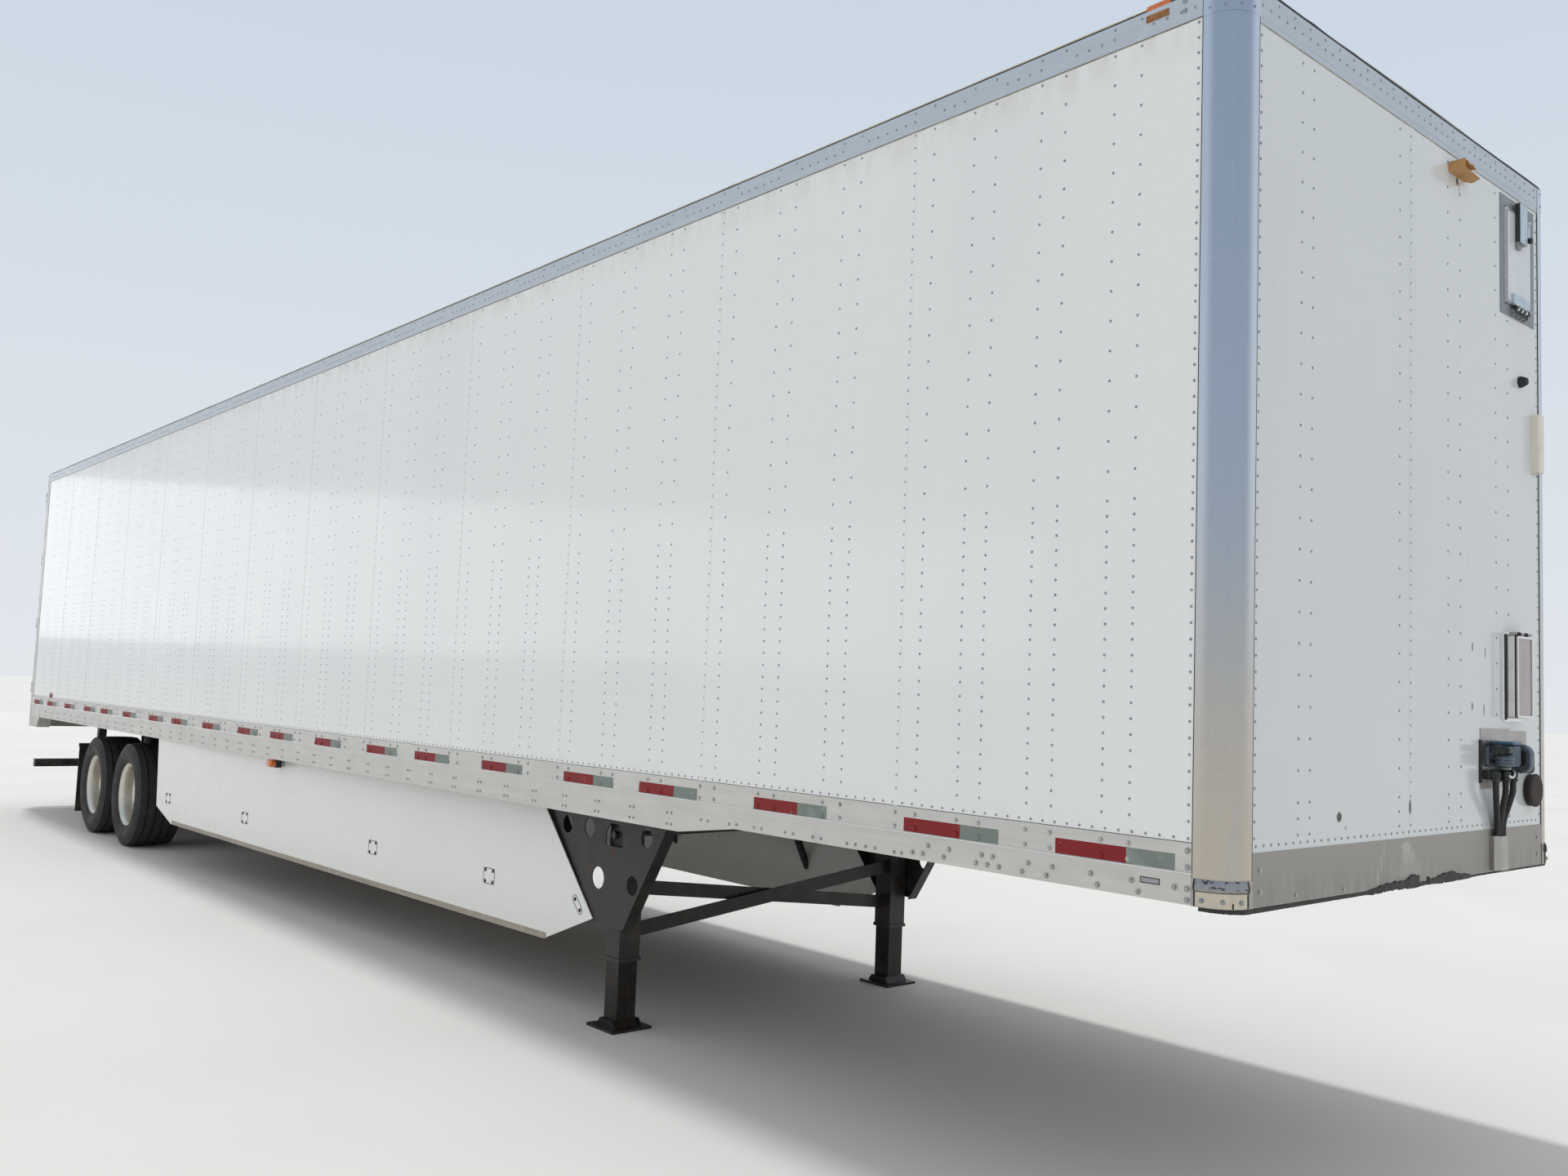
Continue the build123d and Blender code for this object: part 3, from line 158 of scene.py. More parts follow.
# A profile of (place along the axis, radius) turned about a line along Y, X or Z through centre:
# point = centre + place * axis + radius * (cos a, sin a) across it. A wave may change the radius by angle.
def turned(profile, centre, axis="y", angles=96, side=1, wave=None, closeProfile=False):
    profile = np.array(profile, float)
    a = np.arange(angles) * 2 * math.pi / angles if np.isscalar(angles) else np.asarray(angles)
    r = profile[:, 1:] * np.ones((1, len(a)))
    if wave is not None:
        r = r + wave(profile, a)
    points = byAxis(axis, side * profile[:, :1], r * np.cos(a)[None], r * np.sin(a)[None]) + np.asarray(centre, float)
    return points.reshape(-1, 3), [gridFaces(len(profile), len(a), closeRows=closeProfile, closeColumns=True)]


# A closed outline of (across, up) carried along a path: point = path + across * sideways + up * lift,
# where sideways is square to the path's own run and to lift.
def carried(path, outline, lift=(0, 0, 1)):
    path, outline, lift = np.asarray(path, float), np.asarray(outline, float), np.asarray(lift, float)
    run = np.gradient(path, axis=0)
    run = run / np.linalg.norm(run, axis=1, keepdims=True)
    sideways = np.cross(run, lift[None])
    sideways = sideways / np.linalg.norm(sideways, axis=1, keepdims=True)
    upward = np.cross(sideways, run)
    return joinedSections(path[:, None] + (outline[None, :, :1] * sideways[:, None]
                                           + outline[None, :, 1:] * upward[:, None]))


# A smooth line through a few points: each run is a cubic whose slope at a point is half the step
# between its neighbours.
def smoothLine(points, count):
    p = np.asarray(points, float)
    slope = np.gradient(p, axis=0)
    t = np.linspace(0, len(p) - 1 - 1e-9, count)
    i = t.astype(int)
    u = (t - i)[:, None]
    return ((2 * u ** 3 - 3 * u ** 2 + 1) * p[i] + (u ** 3 - 2 * u ** 2 + u) * slope[i]
            + (3 * u ** 2 - 2 * u ** 3) * p[i + 1] + (u ** 3 - u ** 2) * slope[i + 1])


def circleOutline(radius, count):
    a = np.arange(count) * 2 * math.pi / count
    return np.stack([radius * np.cos(a), radius * np.sin(a)], -1)


# Points of a rectangle with round corners, or of an oval where corner is half its smaller side.
def roundedOutline(low, high, corner, steps=6):
    (u0, v0), (u1, v1) = low, high
    a = np.linspace(0, math.pi / 2, steps)
    corners = ((u1 - corner, v1 - corner, 0), (u0 + corner, v1 - corner, 1), (u0 + corner, v0 + corner, 2),
               (u1 - corner, v0 + corner, 3))
    return np.concatenate([np.stack([cu + corner * np.cos(a + k * math.pi / 2),
                                     cv + corner * np.sin(a + k * math.pi / 2)], -1) for cu, cv, k in corners])


def boxOutline(low, high, grow=0):
    (u0, v0), (u1, v1) = low, high
    return np.array([(u0 - grow, v0 - grow), (u1 + grow, v0 - grow), (u1 + grow, v1 + grow), (u0 - grow, v1 + grow)],
                    float)


# A plate with eased outer edges: low and high corners in the two ways of its plane; it stands from back to
# face along the third way.
def platePart(axis, back, face, low, high, ease=1.0):
    rows = [byAxis(axis, place, *boxOutline(low, high, -inset).T)
            for place, inset in ((back, 0), (face - ease * np.sign(face - back), 0), (face, ease))]
    points, tables = joinedSections(np.stack(rows))
    if (axis == "y") != (face < back):
        tables = [table[:, ::-1] for table in tables]
    return points, tables


# An outline pulled along one axis: rows at the back, at the eased edge and at the face, where each corner is
# drawn in toward the outline's middle by the ease.
def easedPrism(axis, outline, back, face, ease):
    outline = np.asarray(outline, float)
    way = outline - outline.mean(0)
    inward = way / np.maximum(np.linalg.norm(way, axis=1, keepdims=True), 1e-6)
    rows = [byAxis(axis, float(place), *(outline - inward * inset).T)
            for place, inset in ((back, 0.0), (face - math.copysign(ease, face - back), 0.0), (face, ease))]
    return joinedSections(np.stack(rows))


# A block with round corners, in one row: axis, low, high, corner radius, back, face, ease.
def block(axis, low, high, corner, back, face, ease, steps=6):
    return easedPrism(axis, roundedOutline(low, high, corner, steps), back, face, ease)


# A flat frame on a face square to X, between an outer and an inner outline.
def ringPart(back, face, outer, inner):
    rows = [byAxis("x", float(x), *ring.T) for x, ring in ((back, outer), (face, outer), (face, inner), (back, inner))]
    return np.concatenate(rows), [gridFaces(4, len(outer), closeRows=True, closeColumns=True)]


# Helpers for materials

finishes = {}
coatRough = 0.05
markDeep = 60                   # how far a mark's colour reaches through the sheet
markEdge = (1.65, 1.35)         # a mark fades in between these, counted in its half widths plus the noise
markRagged = 140.0              # cells of that noise in a metre


def linearOf(hexColour):
    parts = [int(hexColour[i:i + 2], 16) / 255 for i in (1, 3, 5)]
    return [c / 12.92 if c <= 0.04045 else ((c + 0.055) / 1.055) ** 2.4 for c in parts] + [1.0]


# Adds one node: settings are its own attributes, put gives its sockets a value or a link.
def addNode(tree, kind, put=None, **settings):
    node = tree.nodes.new(kind)
    for name, value in settings.items():
        setattr(node, name, value)
    for name, value in (put or {}).items():
        if isinstance(value, bpy.types.NodeSocket):
            tree.links.new(value, node.inputs[name])
        else:
            node.inputs[name].default_value = value
    return node


# A layer of a finish: its colour shows where the pattern lies between low and high. Size is the length of one
# cell of the pattern in millimetres, the same or separate along X, Y and Z; an axis for size means the place
# along that axis in millimetres.
def layer(size, low, high, amount=1.0, colour=None, **more):
    return {"size": size, "between": (low, high), "amount": amount, "colour": colour, **more}


# A pattern that lifts the surface by a depth in millimetres.
def grain(size, depth, detail=3, **more):
    return {"size": size, "depth": depth, "detail": detail, **more}


# A finish: vary is how far its roughness wanders and over what length; marks are single spots on one face, stains and
# the painted shade of a hole, with columns across, up, half width, half height, colour, amount.
def makeFinish(name, base, rough=0.5, metallic=0.0, ior=1.5, coat=0.0, vary=None, layers=(), marks=(),
               markPlane=0, bumps=()):
    material = bpy.data.materials.new(name)
    material.use_nodes = True
    tree = material.node_tree
    tree.nodes.clear()
    where = addNode(tree, "ShaderNodeTexCoord").outputs["Object"]

    def pattern(spec):
        size, kind = spec["size"], spec.get("kind", "noise")
        if isinstance(size, str):
            part = addNode(tree, "ShaderNodeSeparateXYZ", {"Vector": where}).outputs[size.upper()]
            return addNode(tree, "ShaderNodeMath", {0: part, 1: 1000.0}, operation="MULTIPLY").outputs[0]
        size = (size,) * 3 if np.isscalar(size) else size
        vector = addNode(tree, "ShaderNodeMapping", {
            "Vector": where, "Scale": [1000 / s for s in size]}).outputs["Vector"]
        if kind == "noise":
            return addNode(tree, "ShaderNodeTexNoise", {
                "Vector": vector, "Scale": 1.0, "Detail": spec.get("detail", 3.0), "Roughness": 0.55}).outputs["Fac"]
        if kind == "cells":
            return addNode(tree, "ShaderNodeTexVoronoi", {"Vector": vector, "Scale": 1.0},
                           feature=spec.get("feature", "F1")).outputs["Distance"]
        return addNode(tree, "ShaderNodeTexWave", {"Vector": vector, "Scale": 1.0, "Detail": 2.0},
                       bands_direction=spec["along"]).outputs["Fac"]

    def strength(spec):
        low, high = spec["between"]
        value = addNode(tree, "ShaderNodeMapRange", {
            "Value": pattern(spec), "From Min": low, "From Max": high, "To Min": 0.0, "To Max": spec["amount"]},
            interpolation_type="SMOOTHSTEP").outputs["Result"]
        for other in spec.get("times", ()):
            value = addNode(tree, "ShaderNodeMath", {0: value, 1: strength(other)},
                            operation="MULTIPLY").outputs[0]
        return value

    colour, roughness, normal = linearOf(base), rough, None
    if vary:
        roughness = addNode(tree, "ShaderNodeMapRange", {
            "Value": pattern({"size": vary[1]}), "From Min": 0.3, "From Max": 0.7,
            "To Min": rough - vary[0], "To Max": rough + vary[0]}).outputs["Result"]
    for spec in layers:
        share = strength(spec)
        colour = addNode(tree, "ShaderNodeMix", {0: share, 6: colour, 7: linearOf(spec["colour"])},
                         data_type="RGBA").outputs[2]
        if "rough" in spec:
            roughness = addNode(tree, "ShaderNodeMix", {0: share, 2: roughness, 3: spec["rough"]}).outputs[0]
    for across, up, wide, high, spotColour, amount in marks:
        gap = addNode(tree, "ShaderNodeVectorMath", {0: where, 1: [p / 1000 for p in (markPlane, across, up)]},
                      operation="SUBTRACT").outputs[0]
        gap = addNode(tree, "ShaderNodeVectorMath", {0: gap, 1: [1000 / s for s in (markDeep, wide, high)]},
                      operation="MULTIPLY").outputs[0]
        ragged = addNode(tree, "ShaderNodeTexNoise", {
            "Vector": where, "Scale": markRagged, "Detail": 3.0}).outputs["Fac"]
        far = addNode(tree, "ShaderNodeVectorMath", {0: gap}, operation="LENGTH").outputs["Value"]
        far = addNode(tree, "ShaderNodeMath", {0: far, 1: ragged}, operation="ADD").outputs[0]
        share = addNode(tree, "ShaderNodeMapRange", {
            "Value": far, "From Min": markEdge[0], "From Max": markEdge[1], "To Min": 0.0,
            "To Max": amount}).outputs["Result"]
        colour = addNode(tree, "ShaderNodeMix", {0: share, 6: colour, 7: linearOf(spotColour)},
                         data_type="RGBA").outputs[2]
    for spec in bumps:
        put = {"Height": pattern(spec), "Distance": spec["depth"] / 1000, "Strength": 1.0}
        if normal:
            put["Normal"] = normal
        normal = addNode(tree, "ShaderNodeBump", put).outputs["Normal"]
    put = {"Base Color": colour, "Roughness": roughness, "Metallic": metallic, "IOR": ior, "Coat Weight": coat,
           "Coat Roughness": coatRough}
    if normal:
        put["Normal"] = normal
    shader = addNode(tree, "ShaderNodeBsdfPrincipled", put)
    addNode(tree, "ShaderNodeOutputMaterial", {"Surface": shader.outputs["BSDF"]})
    finishes[name] = material
    return material


# Finishes

def roadDust(top, amount=0.5, colour="#A79C8A"):   # pale road dust, thicker lower down
    return layer("z", top, top - 700, amount, colour, rough=0.8, times=(layer(90, 0.35, 0.7),))


def rust(amount, size, between):                   # brown rust in ragged patches
    return layer(size, *between, amount, "#6B3D22", rough=0.85, detail=6.0)


# gloss polyester enamel on aluminium-faced composite sheet: soft tone shifts, wavy clear reflections
makeFinish("whitePanelEnamel", "#E0E2E1", rough=0.12, coat=0.3, vary=(0.04, 700),
    layers=(layer((1500, 1500, 2600), 0.42, 0.66, 0.3, "#D3D7D8"), layer((30, 30, 1300), 0.6, 0.85, 0.1, "#BDB9B0"),
    layer("z", 3820, 3985, 0.3, "#B9AF9D", times=(layer((70, 70, 240), 0.3, 0.7),)),
    layer("z", 1420, 1300, 0.25, "#BFBAAE", times=(layer((60, 60, 160), 0.4, 0.7),))),
    bumps=(grain((406, 406, 900), 3.4, 1), grain(9, 0.012, 1)))
# the same enamel on the nose, greyer, partly road film and partly painted shade for the nose's weaker light; small
# scuffs, and a near-black disc of painted shade at a punched hole
makeFinish("nosePanelEnamel", "#CDD1D2", rough=0.16, coat=0.2, vary=(0.05, 500), markPlane=nosePlane,
    layers=(layer((900, 900, 1500), 0.4, 0.68, 0.35, "#C3C7C9"), layer((24, 24, 700), 0.62, 0.85, 0.14, "#A9A49A")),
    marks=((-605, 1407, 17, 17, "#1A1816", 1.0), (-72, 1425, 9, 26, "#2A2724", 0.9),
    (475, 1798, 9, 16, "#35322E", 0.8), (477, 2030, 8, 18, "#3C3833", 0.8), (600, 2012, 7, 22, "#5A554D", 0.7),
    (585, 1784, 8, 24, "#4A4640", 0.7), (343, 3866, 12, 16, "#3A2A20", 0.9), (362, 3842, 5, 24, "#8A6A48", 0.6),
    (-560, 1370, 10, 8, "#88857F", 0.5)), bumps=(grain((500, 500, 900), 1.8, 1), grain(9, 0.012, 1)))
# white skirt sheet: the same enamel, flatter and dustier toward the road
makeFinish("skirtEnamel", "#DEDFDC", rough=0.26, coat=0.15, vary=(0.06, 500),
    layers=(layer((1400, 1400, 500), 0.45, 0.75, 0.12, "#CBC9C2"),
    layer("z", 600, 380, 0.16, "#C6C0B2", rough=0.5)), bumps=(grain(1100, 0.5, 0),))
# roof enamel under dust and rain streaks
makeFinish("roofEnamel", "#C6C4BE", rough=0.45, vary=(0.1, 300),
    layers=(layer((260, 900, 260), 0.5, 0.72, 0.35, "#A39B8D"),), bumps=(grain((610, 900, 610), 2.0, 1),))
# anodised aluminium extrusion, brushed along its length: a cool satin with tall soft streaks, and a painted highlight
# that makes both flat flanges paler than the rounded corner
makeFinish("anodisedAluminium", "#A4AFBD", rough=0.3, metallic=1.0, vary=(0.05, (40, 40, 900)),
    # the pale bands by X (side flange, X below 7962) and by Y (nose flange, inside 1186) are painted highlight
    layers=(layer((26, 26, 1500), 0.4, 0.7, 0.3, "#9EA9B8"), layer("x", 7994, 7962, 0.6, "#D6DCE3"),
    layer("y", -1222, -1186, 0.8, "#DADFE5", times=(layer("y", 100, -100),)),
    layer("y", 1222, 1186, 0.8, "#DADFE5", times=(layer("y", -100, 100),)),
    layer("z", 2700, 1250, 0.9, "#BDB3A4", times=(layer((90, 90, 700), 0.1, 0.5),)),
    layer(12, 0.6, 0.74, 0.2, "#D9DBDD")), bumps=(grain((3, 3, 260), 0.05, 2),))
# mill-finish aluminium rail: grey with a faint warm cast, drawn lines along it and water blotches
makeFinish("millAluminium", "#C6C4C0", rough=0.4, metallic=0.8, vary=(0.08, 180),
    layers=(layer((600, 600, 34), 0.4, 0.7, 0.3, "#B4B1AC"), layer((340, 340, 60), 0.54, 0.72, 0.3, "#D6D4D0"),
    layer((60, 60, 120), 0.64, 0.8, 0.22, "#9B958C", rough=0.6)), bumps=(grain((400, 400, 3), 0.05, 2),
    grain(240, 0.8, 1)))
# the top rails carry a thin clear coat and look bluer
makeFinish("coatedRailAluminium", "#C3C8CD", rough=0.36, metallic=0.7, vary=(0.06, 240),
    layers=(layer((500, 500, 30), 0.4, 0.7, 0.3, "#B2B8BF"), layer(130, 0.58, 0.72, 0.25, "#D6D9DC")),
    bumps=(grain((500, 500, 4), 0.04, 2), grain(300, 0.7, 1)))
# nose rails: the same coat on top, a dull warm grey with rubbed pale streaks on the low one
makeFinish("noseRailAluminium", "#BFC5CB", rough=0.4, metallic=0.6, vary=(0.06, 240), markPlane=noseRailPlane,
    layers=(layer((500, 500, 30), 0.4, 0.7, 0.3, "#AFB5BC"), layer("z", 1700, 1400, 1.0, "#A09C97", rough=0.55),
    layer("z", 1300, 1150, 0.45, "#86827C", rough=0.6, times=(layer((60, 34, 260), 0.3, 0.7),))),
    marks=((-282, 1280, 6, 26, "#C9C5BF", 0.35), (-303, 1236, 7, 30, "#C9C5BF", 0.4),
    (-328, 1190, 7, 28, "#C9C5BF", 0.35), (-110, 1284, 38, 18, "#C9C5BF", 0.45),
    (-92, 1252, 56, 26, "#BDB9B3", 0.45), (-78, 1206, 96, 34, "#B5B1AB", 0.4)),
    bumps=(grain((500, 500, 4), 0.04, 2), grain(300, 0.7, 1)))
# vent frame: the same rail metal, duller and darker under road film
makeFinish("filmedAluminium", "#8F9498", rough=0.5, metallic=0.6, vary=(0.06, 80),
    layers=(layer((40, 40, 180), 0.4, 0.7, 0.4, "#7D8185"),), bumps=(grain((200, 200, 3), 0.05, 2),))
# vent leaf: enamel dulled with handling, grey smudges low down
makeFinish("ventLeafEnamel", "#C9CDD1", rough=0.25, coat=0.2, vary=(0.06, 90),
    layers=(layer((120, 120, 260), 0.4, 0.7, 0.3, "#BDC2C7"),
    layer("z", 3560, 3500, 0.7, "#7D8288", times=(layer((26, 26, 34), 0.45, 0.6),))), bumps=(grain(120, 0.6, 1),))
# stainless steel sheet with rolled grain, dented, rust creeping in from its welds
makeFinish("stainlessSheet", "#A9A6A2", rough=0.32, metallic=1.0, vary=(0.08, 70),
    layers=(layer((12, 12, 160), 0.4, 0.7, 0.3, "#918D87"), layer(46, 0.62, 0.74, 0.6, "#8A7358", rough=0.6)),
    bumps=(grain(60, 0.9, 2), grain((4, 4, 90), 0.03, 2)))
# painted steel of the rear frame: pale grey coat, dusty and chipped at the sill
makeFinish("rearFramePaint", "#BDBCB8", rough=0.38, metallic=0.5, vary=(0.08, 120),
    layers=(layer((300, 300, 60), 0.45, 0.7, 0.35, "#A5A29B"), rust(0.6, 40, (0.66, 0.74)), roadDust(1500, 0.4)),
    bumps=(grain(90, 0.5, 2),))
# hot-dip galvanised steel: grey spangle a few centimetres wide
makeFinish("galvanisedSteel", "#8E9192", rough=0.45, metallic=0.9,
    layers=(layer(22, 0.1, 0.7, 0.4, "#A7AAAB", kind="cells"), rust(0.45, 80, (0.62, 0.74))),
    bumps=(grain(22, 0.08, kind="cells"),))
# black chassis paint under road dust, rust at the edges and in patches
makeFinish("blackChassisPaint", "#1B1A19", rough=0.5, vary=(0.1, 90),
    layers=(layer(180, 0.45, 0.7, 0.5, "#2A2725"), rust(0.5, 70, (0.63, 0.74)), roadDust(1250, 0.3, "#5E574D")),
    bumps=(grain(12, 0.25),))
# sliding inner legs: bare steel, dark with grease and rust
makeFinish("greasedSteel", "#211F1D", rough=0.34, metallic=0.5, vary=(0.12, 60),
    layers=(rust(0.3, 50, (0.56, 0.74)), layer((18, 18, 240), 0.5, 0.7, 0.6, "#11100F"),
    roadDust(260, 0.5, "#7D7466")), bumps=(grain(9, 0.2),))
# laminated oak floor, 34 mm strips under worn lacquer
makeFinish("laminatedOak", "#8A6541", rough=0.5, vary=(0.1, 300),
    layers=(layer((420, 34, 34), 0.35, 0.7, 0.7, "#A57C52", detail=1.0),
    layer((160, 6, 6), 0.5, 0.75, 0.5, "#5F4329"), layer((1200, 500, 500), 0.5, 0.7, 0.4, "#6E5A45")),
    bumps=(grain((200, 5, 5), 0.3, 2),))
# tread and side wall rubber: brown-black, chalky where the road has worn it
makeFinish("tyreRubber", "#232221", rough=0.72, ior=1.52, vary=(0.1, 120),
    layers=(layer(70, 0.4, 0.75, 0.45, "#37342F"), layer(12, 0.58, 0.75, 0.4, "#4A453C", rough=0.9)),
    bumps=(grain(5, 0.25),))
# moulded rubber of flaps, bags and hoses
makeFinish("mouldedRubber", "#161616", rough=0.55, ior=1.52, vary=(0.12, 80),
    layers=(layer(120, 0.45, 0.75, 0.5, "#2A2927"), roadDust(900, 0.35, "#5F574B")), bumps=(grain(14, 0.2),))
# forged aluminium wheel, washed but not polished: soft grey with turned rings
makeFinish("forgedAluminium", "#D2CBBE", rough=0.4, metallic=0.9, vary=(0.08, 70),
    layers=(layer(90, 0.45, 0.7, 0.35, "#B2B3B4"), layer(26, 0.6, 0.75, 0.45, "#8D877D", rough=0.7)),
    bumps=(grain((60, 5, 60), 0.05, 2),))
# brake drum: cast iron, evenly rusted
makeFinish("castIron", "#3A332D", rough=0.75, metallic=0.3, vary=(0.1, 300),
    layers=(layer(40, 0.4, 0.7, 0.7, "#5C3F2A"),), bumps=(grain(6, 0.4, 4),))
# aluminium rivet heads: dull grey with an oxidised edge
makeFinish("rivetAluminium", "#9DA0A2", rough=0.42, metallic=0.8,
    layers=(layer(70, 0.4, 0.65, 0.7, "#7E8285"), layer(5, 0.55, 0.7, 0.5, "#6A6D70")), bumps=(grain(3, 0.1, 2),))
# zinc-plated bolt heads: brighter, with dark grime round the washer
makeFinish("platedBolt", "#B4B4B1", rough=0.35, metallic=0.9,
    layers=(layer(6, 0.5, 0.7, 0.5, "#77736C"), rust(0.5, 50, (0.6, 0.72))), bumps=(grain(4, 0.15, 2),))
# retroreflective tape: sealed honeycomb cells under a clear face, red and silver
makeFinish("redReflectiveTape", "#821018", rough=0.55, ior=1.4,
    layers=(layer(7, 0.12, 0.02, 0.4, "#640C13", kind="cells", feature="DISTANCE_TO_EDGE"),
    layer(90, 0.5, 0.7, 0.3, "#741A1E"), layer(22, 0.68, 0.75, 0.5, "#C0A8A2")),
    bumps=(grain(7, 0.04, kind="cells"),))
makeFinish("silverReflectiveTape", "#778079", rough=0.5, metallic=0.2,
    layers=(layer(7, 0.12, 0.02, 0.5, "#67716D", kind="cells", feature="DISTANCE_TO_EDGE"),
    layer(70, 0.5, 0.7, 0.4, "#939D98")), bumps=(grain(7, 0.04, kind="cells"),))
# acrylic lamp lenses with prism ribs 5 mm apart
makeFinish("redAcrylic", "#8E1216", rough=0.12, ior=1.49, coat=0.6,
    layers=(layer(60, 0.45, 0.7, 0.4, "#6A0D11"),), bumps=(grain(31, 0.5, kind="bands", along="Z"),))
makeFinish("amberAcrylic", "#C8641A", rough=0.14, ior=1.49, coat=0.6,
    layers=(layer(30, 0.45, 0.7, 0.4, "#9C4A12"),), bumps=(grain(31, 0.5, kind="bands", along="X"),))
# red paint of the door hooks, dull, chipped down to rust
makeFinish("redHookPaint", "#8F1F22", rough=0.45,
    layers=(layer(30, 0.5, 0.7, 0.4, "#6E2A22"), rust(0.8, 20, (0.6, 0.7))), bumps=(grain(6, 0.15, 2),))
# sun-baked ABS, tan and chalky
makeFinish("sunBakedPlastic", "#B98A55", rough=0.6, ior=1.53,
    layers=(layer(40, 0.4, 0.7, 0.55, "#9A6C3E"), layer(12, 0.6, 0.75, 0.5, "#D2AE80"),
    layer(9, 0.68, 0.76, 0.6, "#5D3F24")), bumps=(grain(8, 0.3),))
# cream polycarbonate of the tracking unit
makeFinish("creamPolycarbonate", "#D6D0C1", rough=0.35, ior=1.58, vary=(0.06, 300),
    layers=(layer((60, 60, 160), 0.5, 0.75, 0.35, "#B7AE9C"),), bumps=(grain(1.2, 0.02, 2),))
# grey-painted castings of the couplings, oily and worn bright at the lips
makeFinish("paintedCasting", "#5C6670", rough=0.42, metallic=0.45, vary=(0.1, 40),
    layers=(layer(30, 0.45, 0.7, 0.6, "#3A4149"), layer(12, 0.6, 0.72, 0.6, "#8C9297")), bumps=(grain(7, 0.3),))
# box lid: gloss grey plastic film over steel, slightly rippled
makeFinish("greyLidEnamel", "#968A8B", rough=0.12, coat=0.5, vary=(0.04, 60),
    layers=(layer((90, 90, 240), 0.4, 0.7, 0.4, "#857577"),), bumps=(grain(90, 0.7, 1),))
# cream butyl sealant and rolled roof edge, chalky, with darker streaks and dark patches of painted shade in its folds
makeFinish("roofEdgeStrip", "#B5AD9D", rough=0.6, vary=(0.1, 80),
    layers=(layer((300, 300, 20), 0.45, 0.7, 0.6, "#7A7164"), layer(40, 0.58, 0.72, 0.7, "#4A433B")),
    bumps=(grain(60, 1.2),))
# bent stainless guard at the post's foot: cream-bright below the lip, blue-grey and scratched on it
makeFinish("guardSheet", "#C6BDAE", rough=0.3, metallic=0.9, vary=(0.08, 50),
    layers=(layer((30, 30, 60), 0.45, 0.7, 0.3, "#A89F92"), layer("z", 1198, 1204, 0.85, "#8E9299", rough=0.5),
    layer((26, 26, 9), 0.56, 0.62, 0.85, "#2E2C30", times=(layer("z", 1204, 1210),))), bumps=(grain(40, 0.9, 2),))
# satin zinc-plated steel with faint rubbed streaks; its bright blue-grey is partly a painted reflection of the sky
makeFinish("satinZinc", "#B9C7D2", rough=0.36, metallic=0.45,
    layers=(layer((20, 20, 60), 0.45, 0.7, 0.3, "#98A6B2"), layer(9, 0.64, 0.74, 0.5, "#6F7880", rough=0.6)),
    bumps=(grain((4, 4, 60), 0.03, 2),))
# polished edge of the rail's bead, a bright line
makeFinish("brightBead", "#E4E3E0", rough=0.2, metallic=0.9,
    layers=(layer((300, 20, 20), 0.5, 0.7, 0.25, "#B9B6B0"),), bumps=(grain((90, 4, 4), 0.05, 2),))
# tan butyl bead where the top rails meet the panels
makeFinish("tanSealant", "#A2998A", rough=0.7,
    layers=(layer(90, 0.4, 0.65, 0.7, "#7B7468"), layer(24, 0.6, 0.72, 0.6, "#4F493F")), bumps=(grain(18, 0.4, 2),))
# power socket: blue enamelled die-casting, chalky on top
makeFinish("blueCasting", "#2F4557", rough=0.4, metallic=0.3, vary=(0.08, 30),
    layers=(layer("z", 1648, 1662, 0.8, "#55789A"), layer(20, 0.55, 0.7, 0.5, "#1F2C38")), bumps=(grain(7, 0.3),))
# air couplings: dark oxidised zinc casting, olive-grey with rubbed lips; the same colour is the painted shade plate on
# the vent latch
makeFinish("oliveCasting", "#3A3E3A", rough=0.45, metallic=0.5, vary=(0.1, 30),
    layers=(layer(22, 0.45, 0.7, 0.6, "#23262A"), layer(10, 0.62, 0.72, 0.6, "#6F746E")), bumps=(grain(7, 0.35),))
# brown-black rubber bumper, chalky at its rim
makeFinish("agedRubber", "#2C2420", rough=0.75, ior=1.52,
    layers=(layer(24, 0.4, 0.7, 0.6, "#3F332B"), layer(9, 0.62, 0.74, 0.5, "#5B4C40")), bumps=(grain(6, 0.4),))
# amber prism reflector, gold-brown where the sun has bleached it
makeFinish("amberReflector", "#9A6420", rough=0.25, ior=1.49, coat=0.4,
    layers=(layer(14, 0.4, 0.65, 0.6, "#6F4312"), layer(9, 0.62, 0.72, 0.6, "#C09048")), bumps=(grain(5, 0.3, 2),))
# folded vinyl hem along the skirt's lower edge, grey-brown with dust
makeFinish("dustyHemVinyl", "#9C9488", rough=0.7, vary=(0.08, 90),
    layers=(layer((600, 600, 12), 0.4, 0.7, 0.5, "#7F776B"), layer(60, 0.55, 0.7, 0.4, "#B9B1A3")),
    bumps=(grain(30, 0.5, 2),))
# black-oxide bolts, brown where the coat has worn
makeFinish("blackOxideBolt", "#2B2A29", rough=0.5, metallic=0.5,
    layers=(layer(6, 0.5, 0.7, 0.5, "#4A4038"),), bumps=(grain(4, 0.15, 2),))
# black sealant in the joint under the roof's edge; the same black is the painted shade strip beside the nose plate
makeFinish("blackSealant", "#24211E", rough=0.6,
    layers=(layer(60, 0.5, 0.7, 0.5, "#3C362F"),), bumps=(grain(25, 0.6, 2),))
print("finishes made", len(finishes))


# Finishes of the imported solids: tyres and wheels take theirs by name

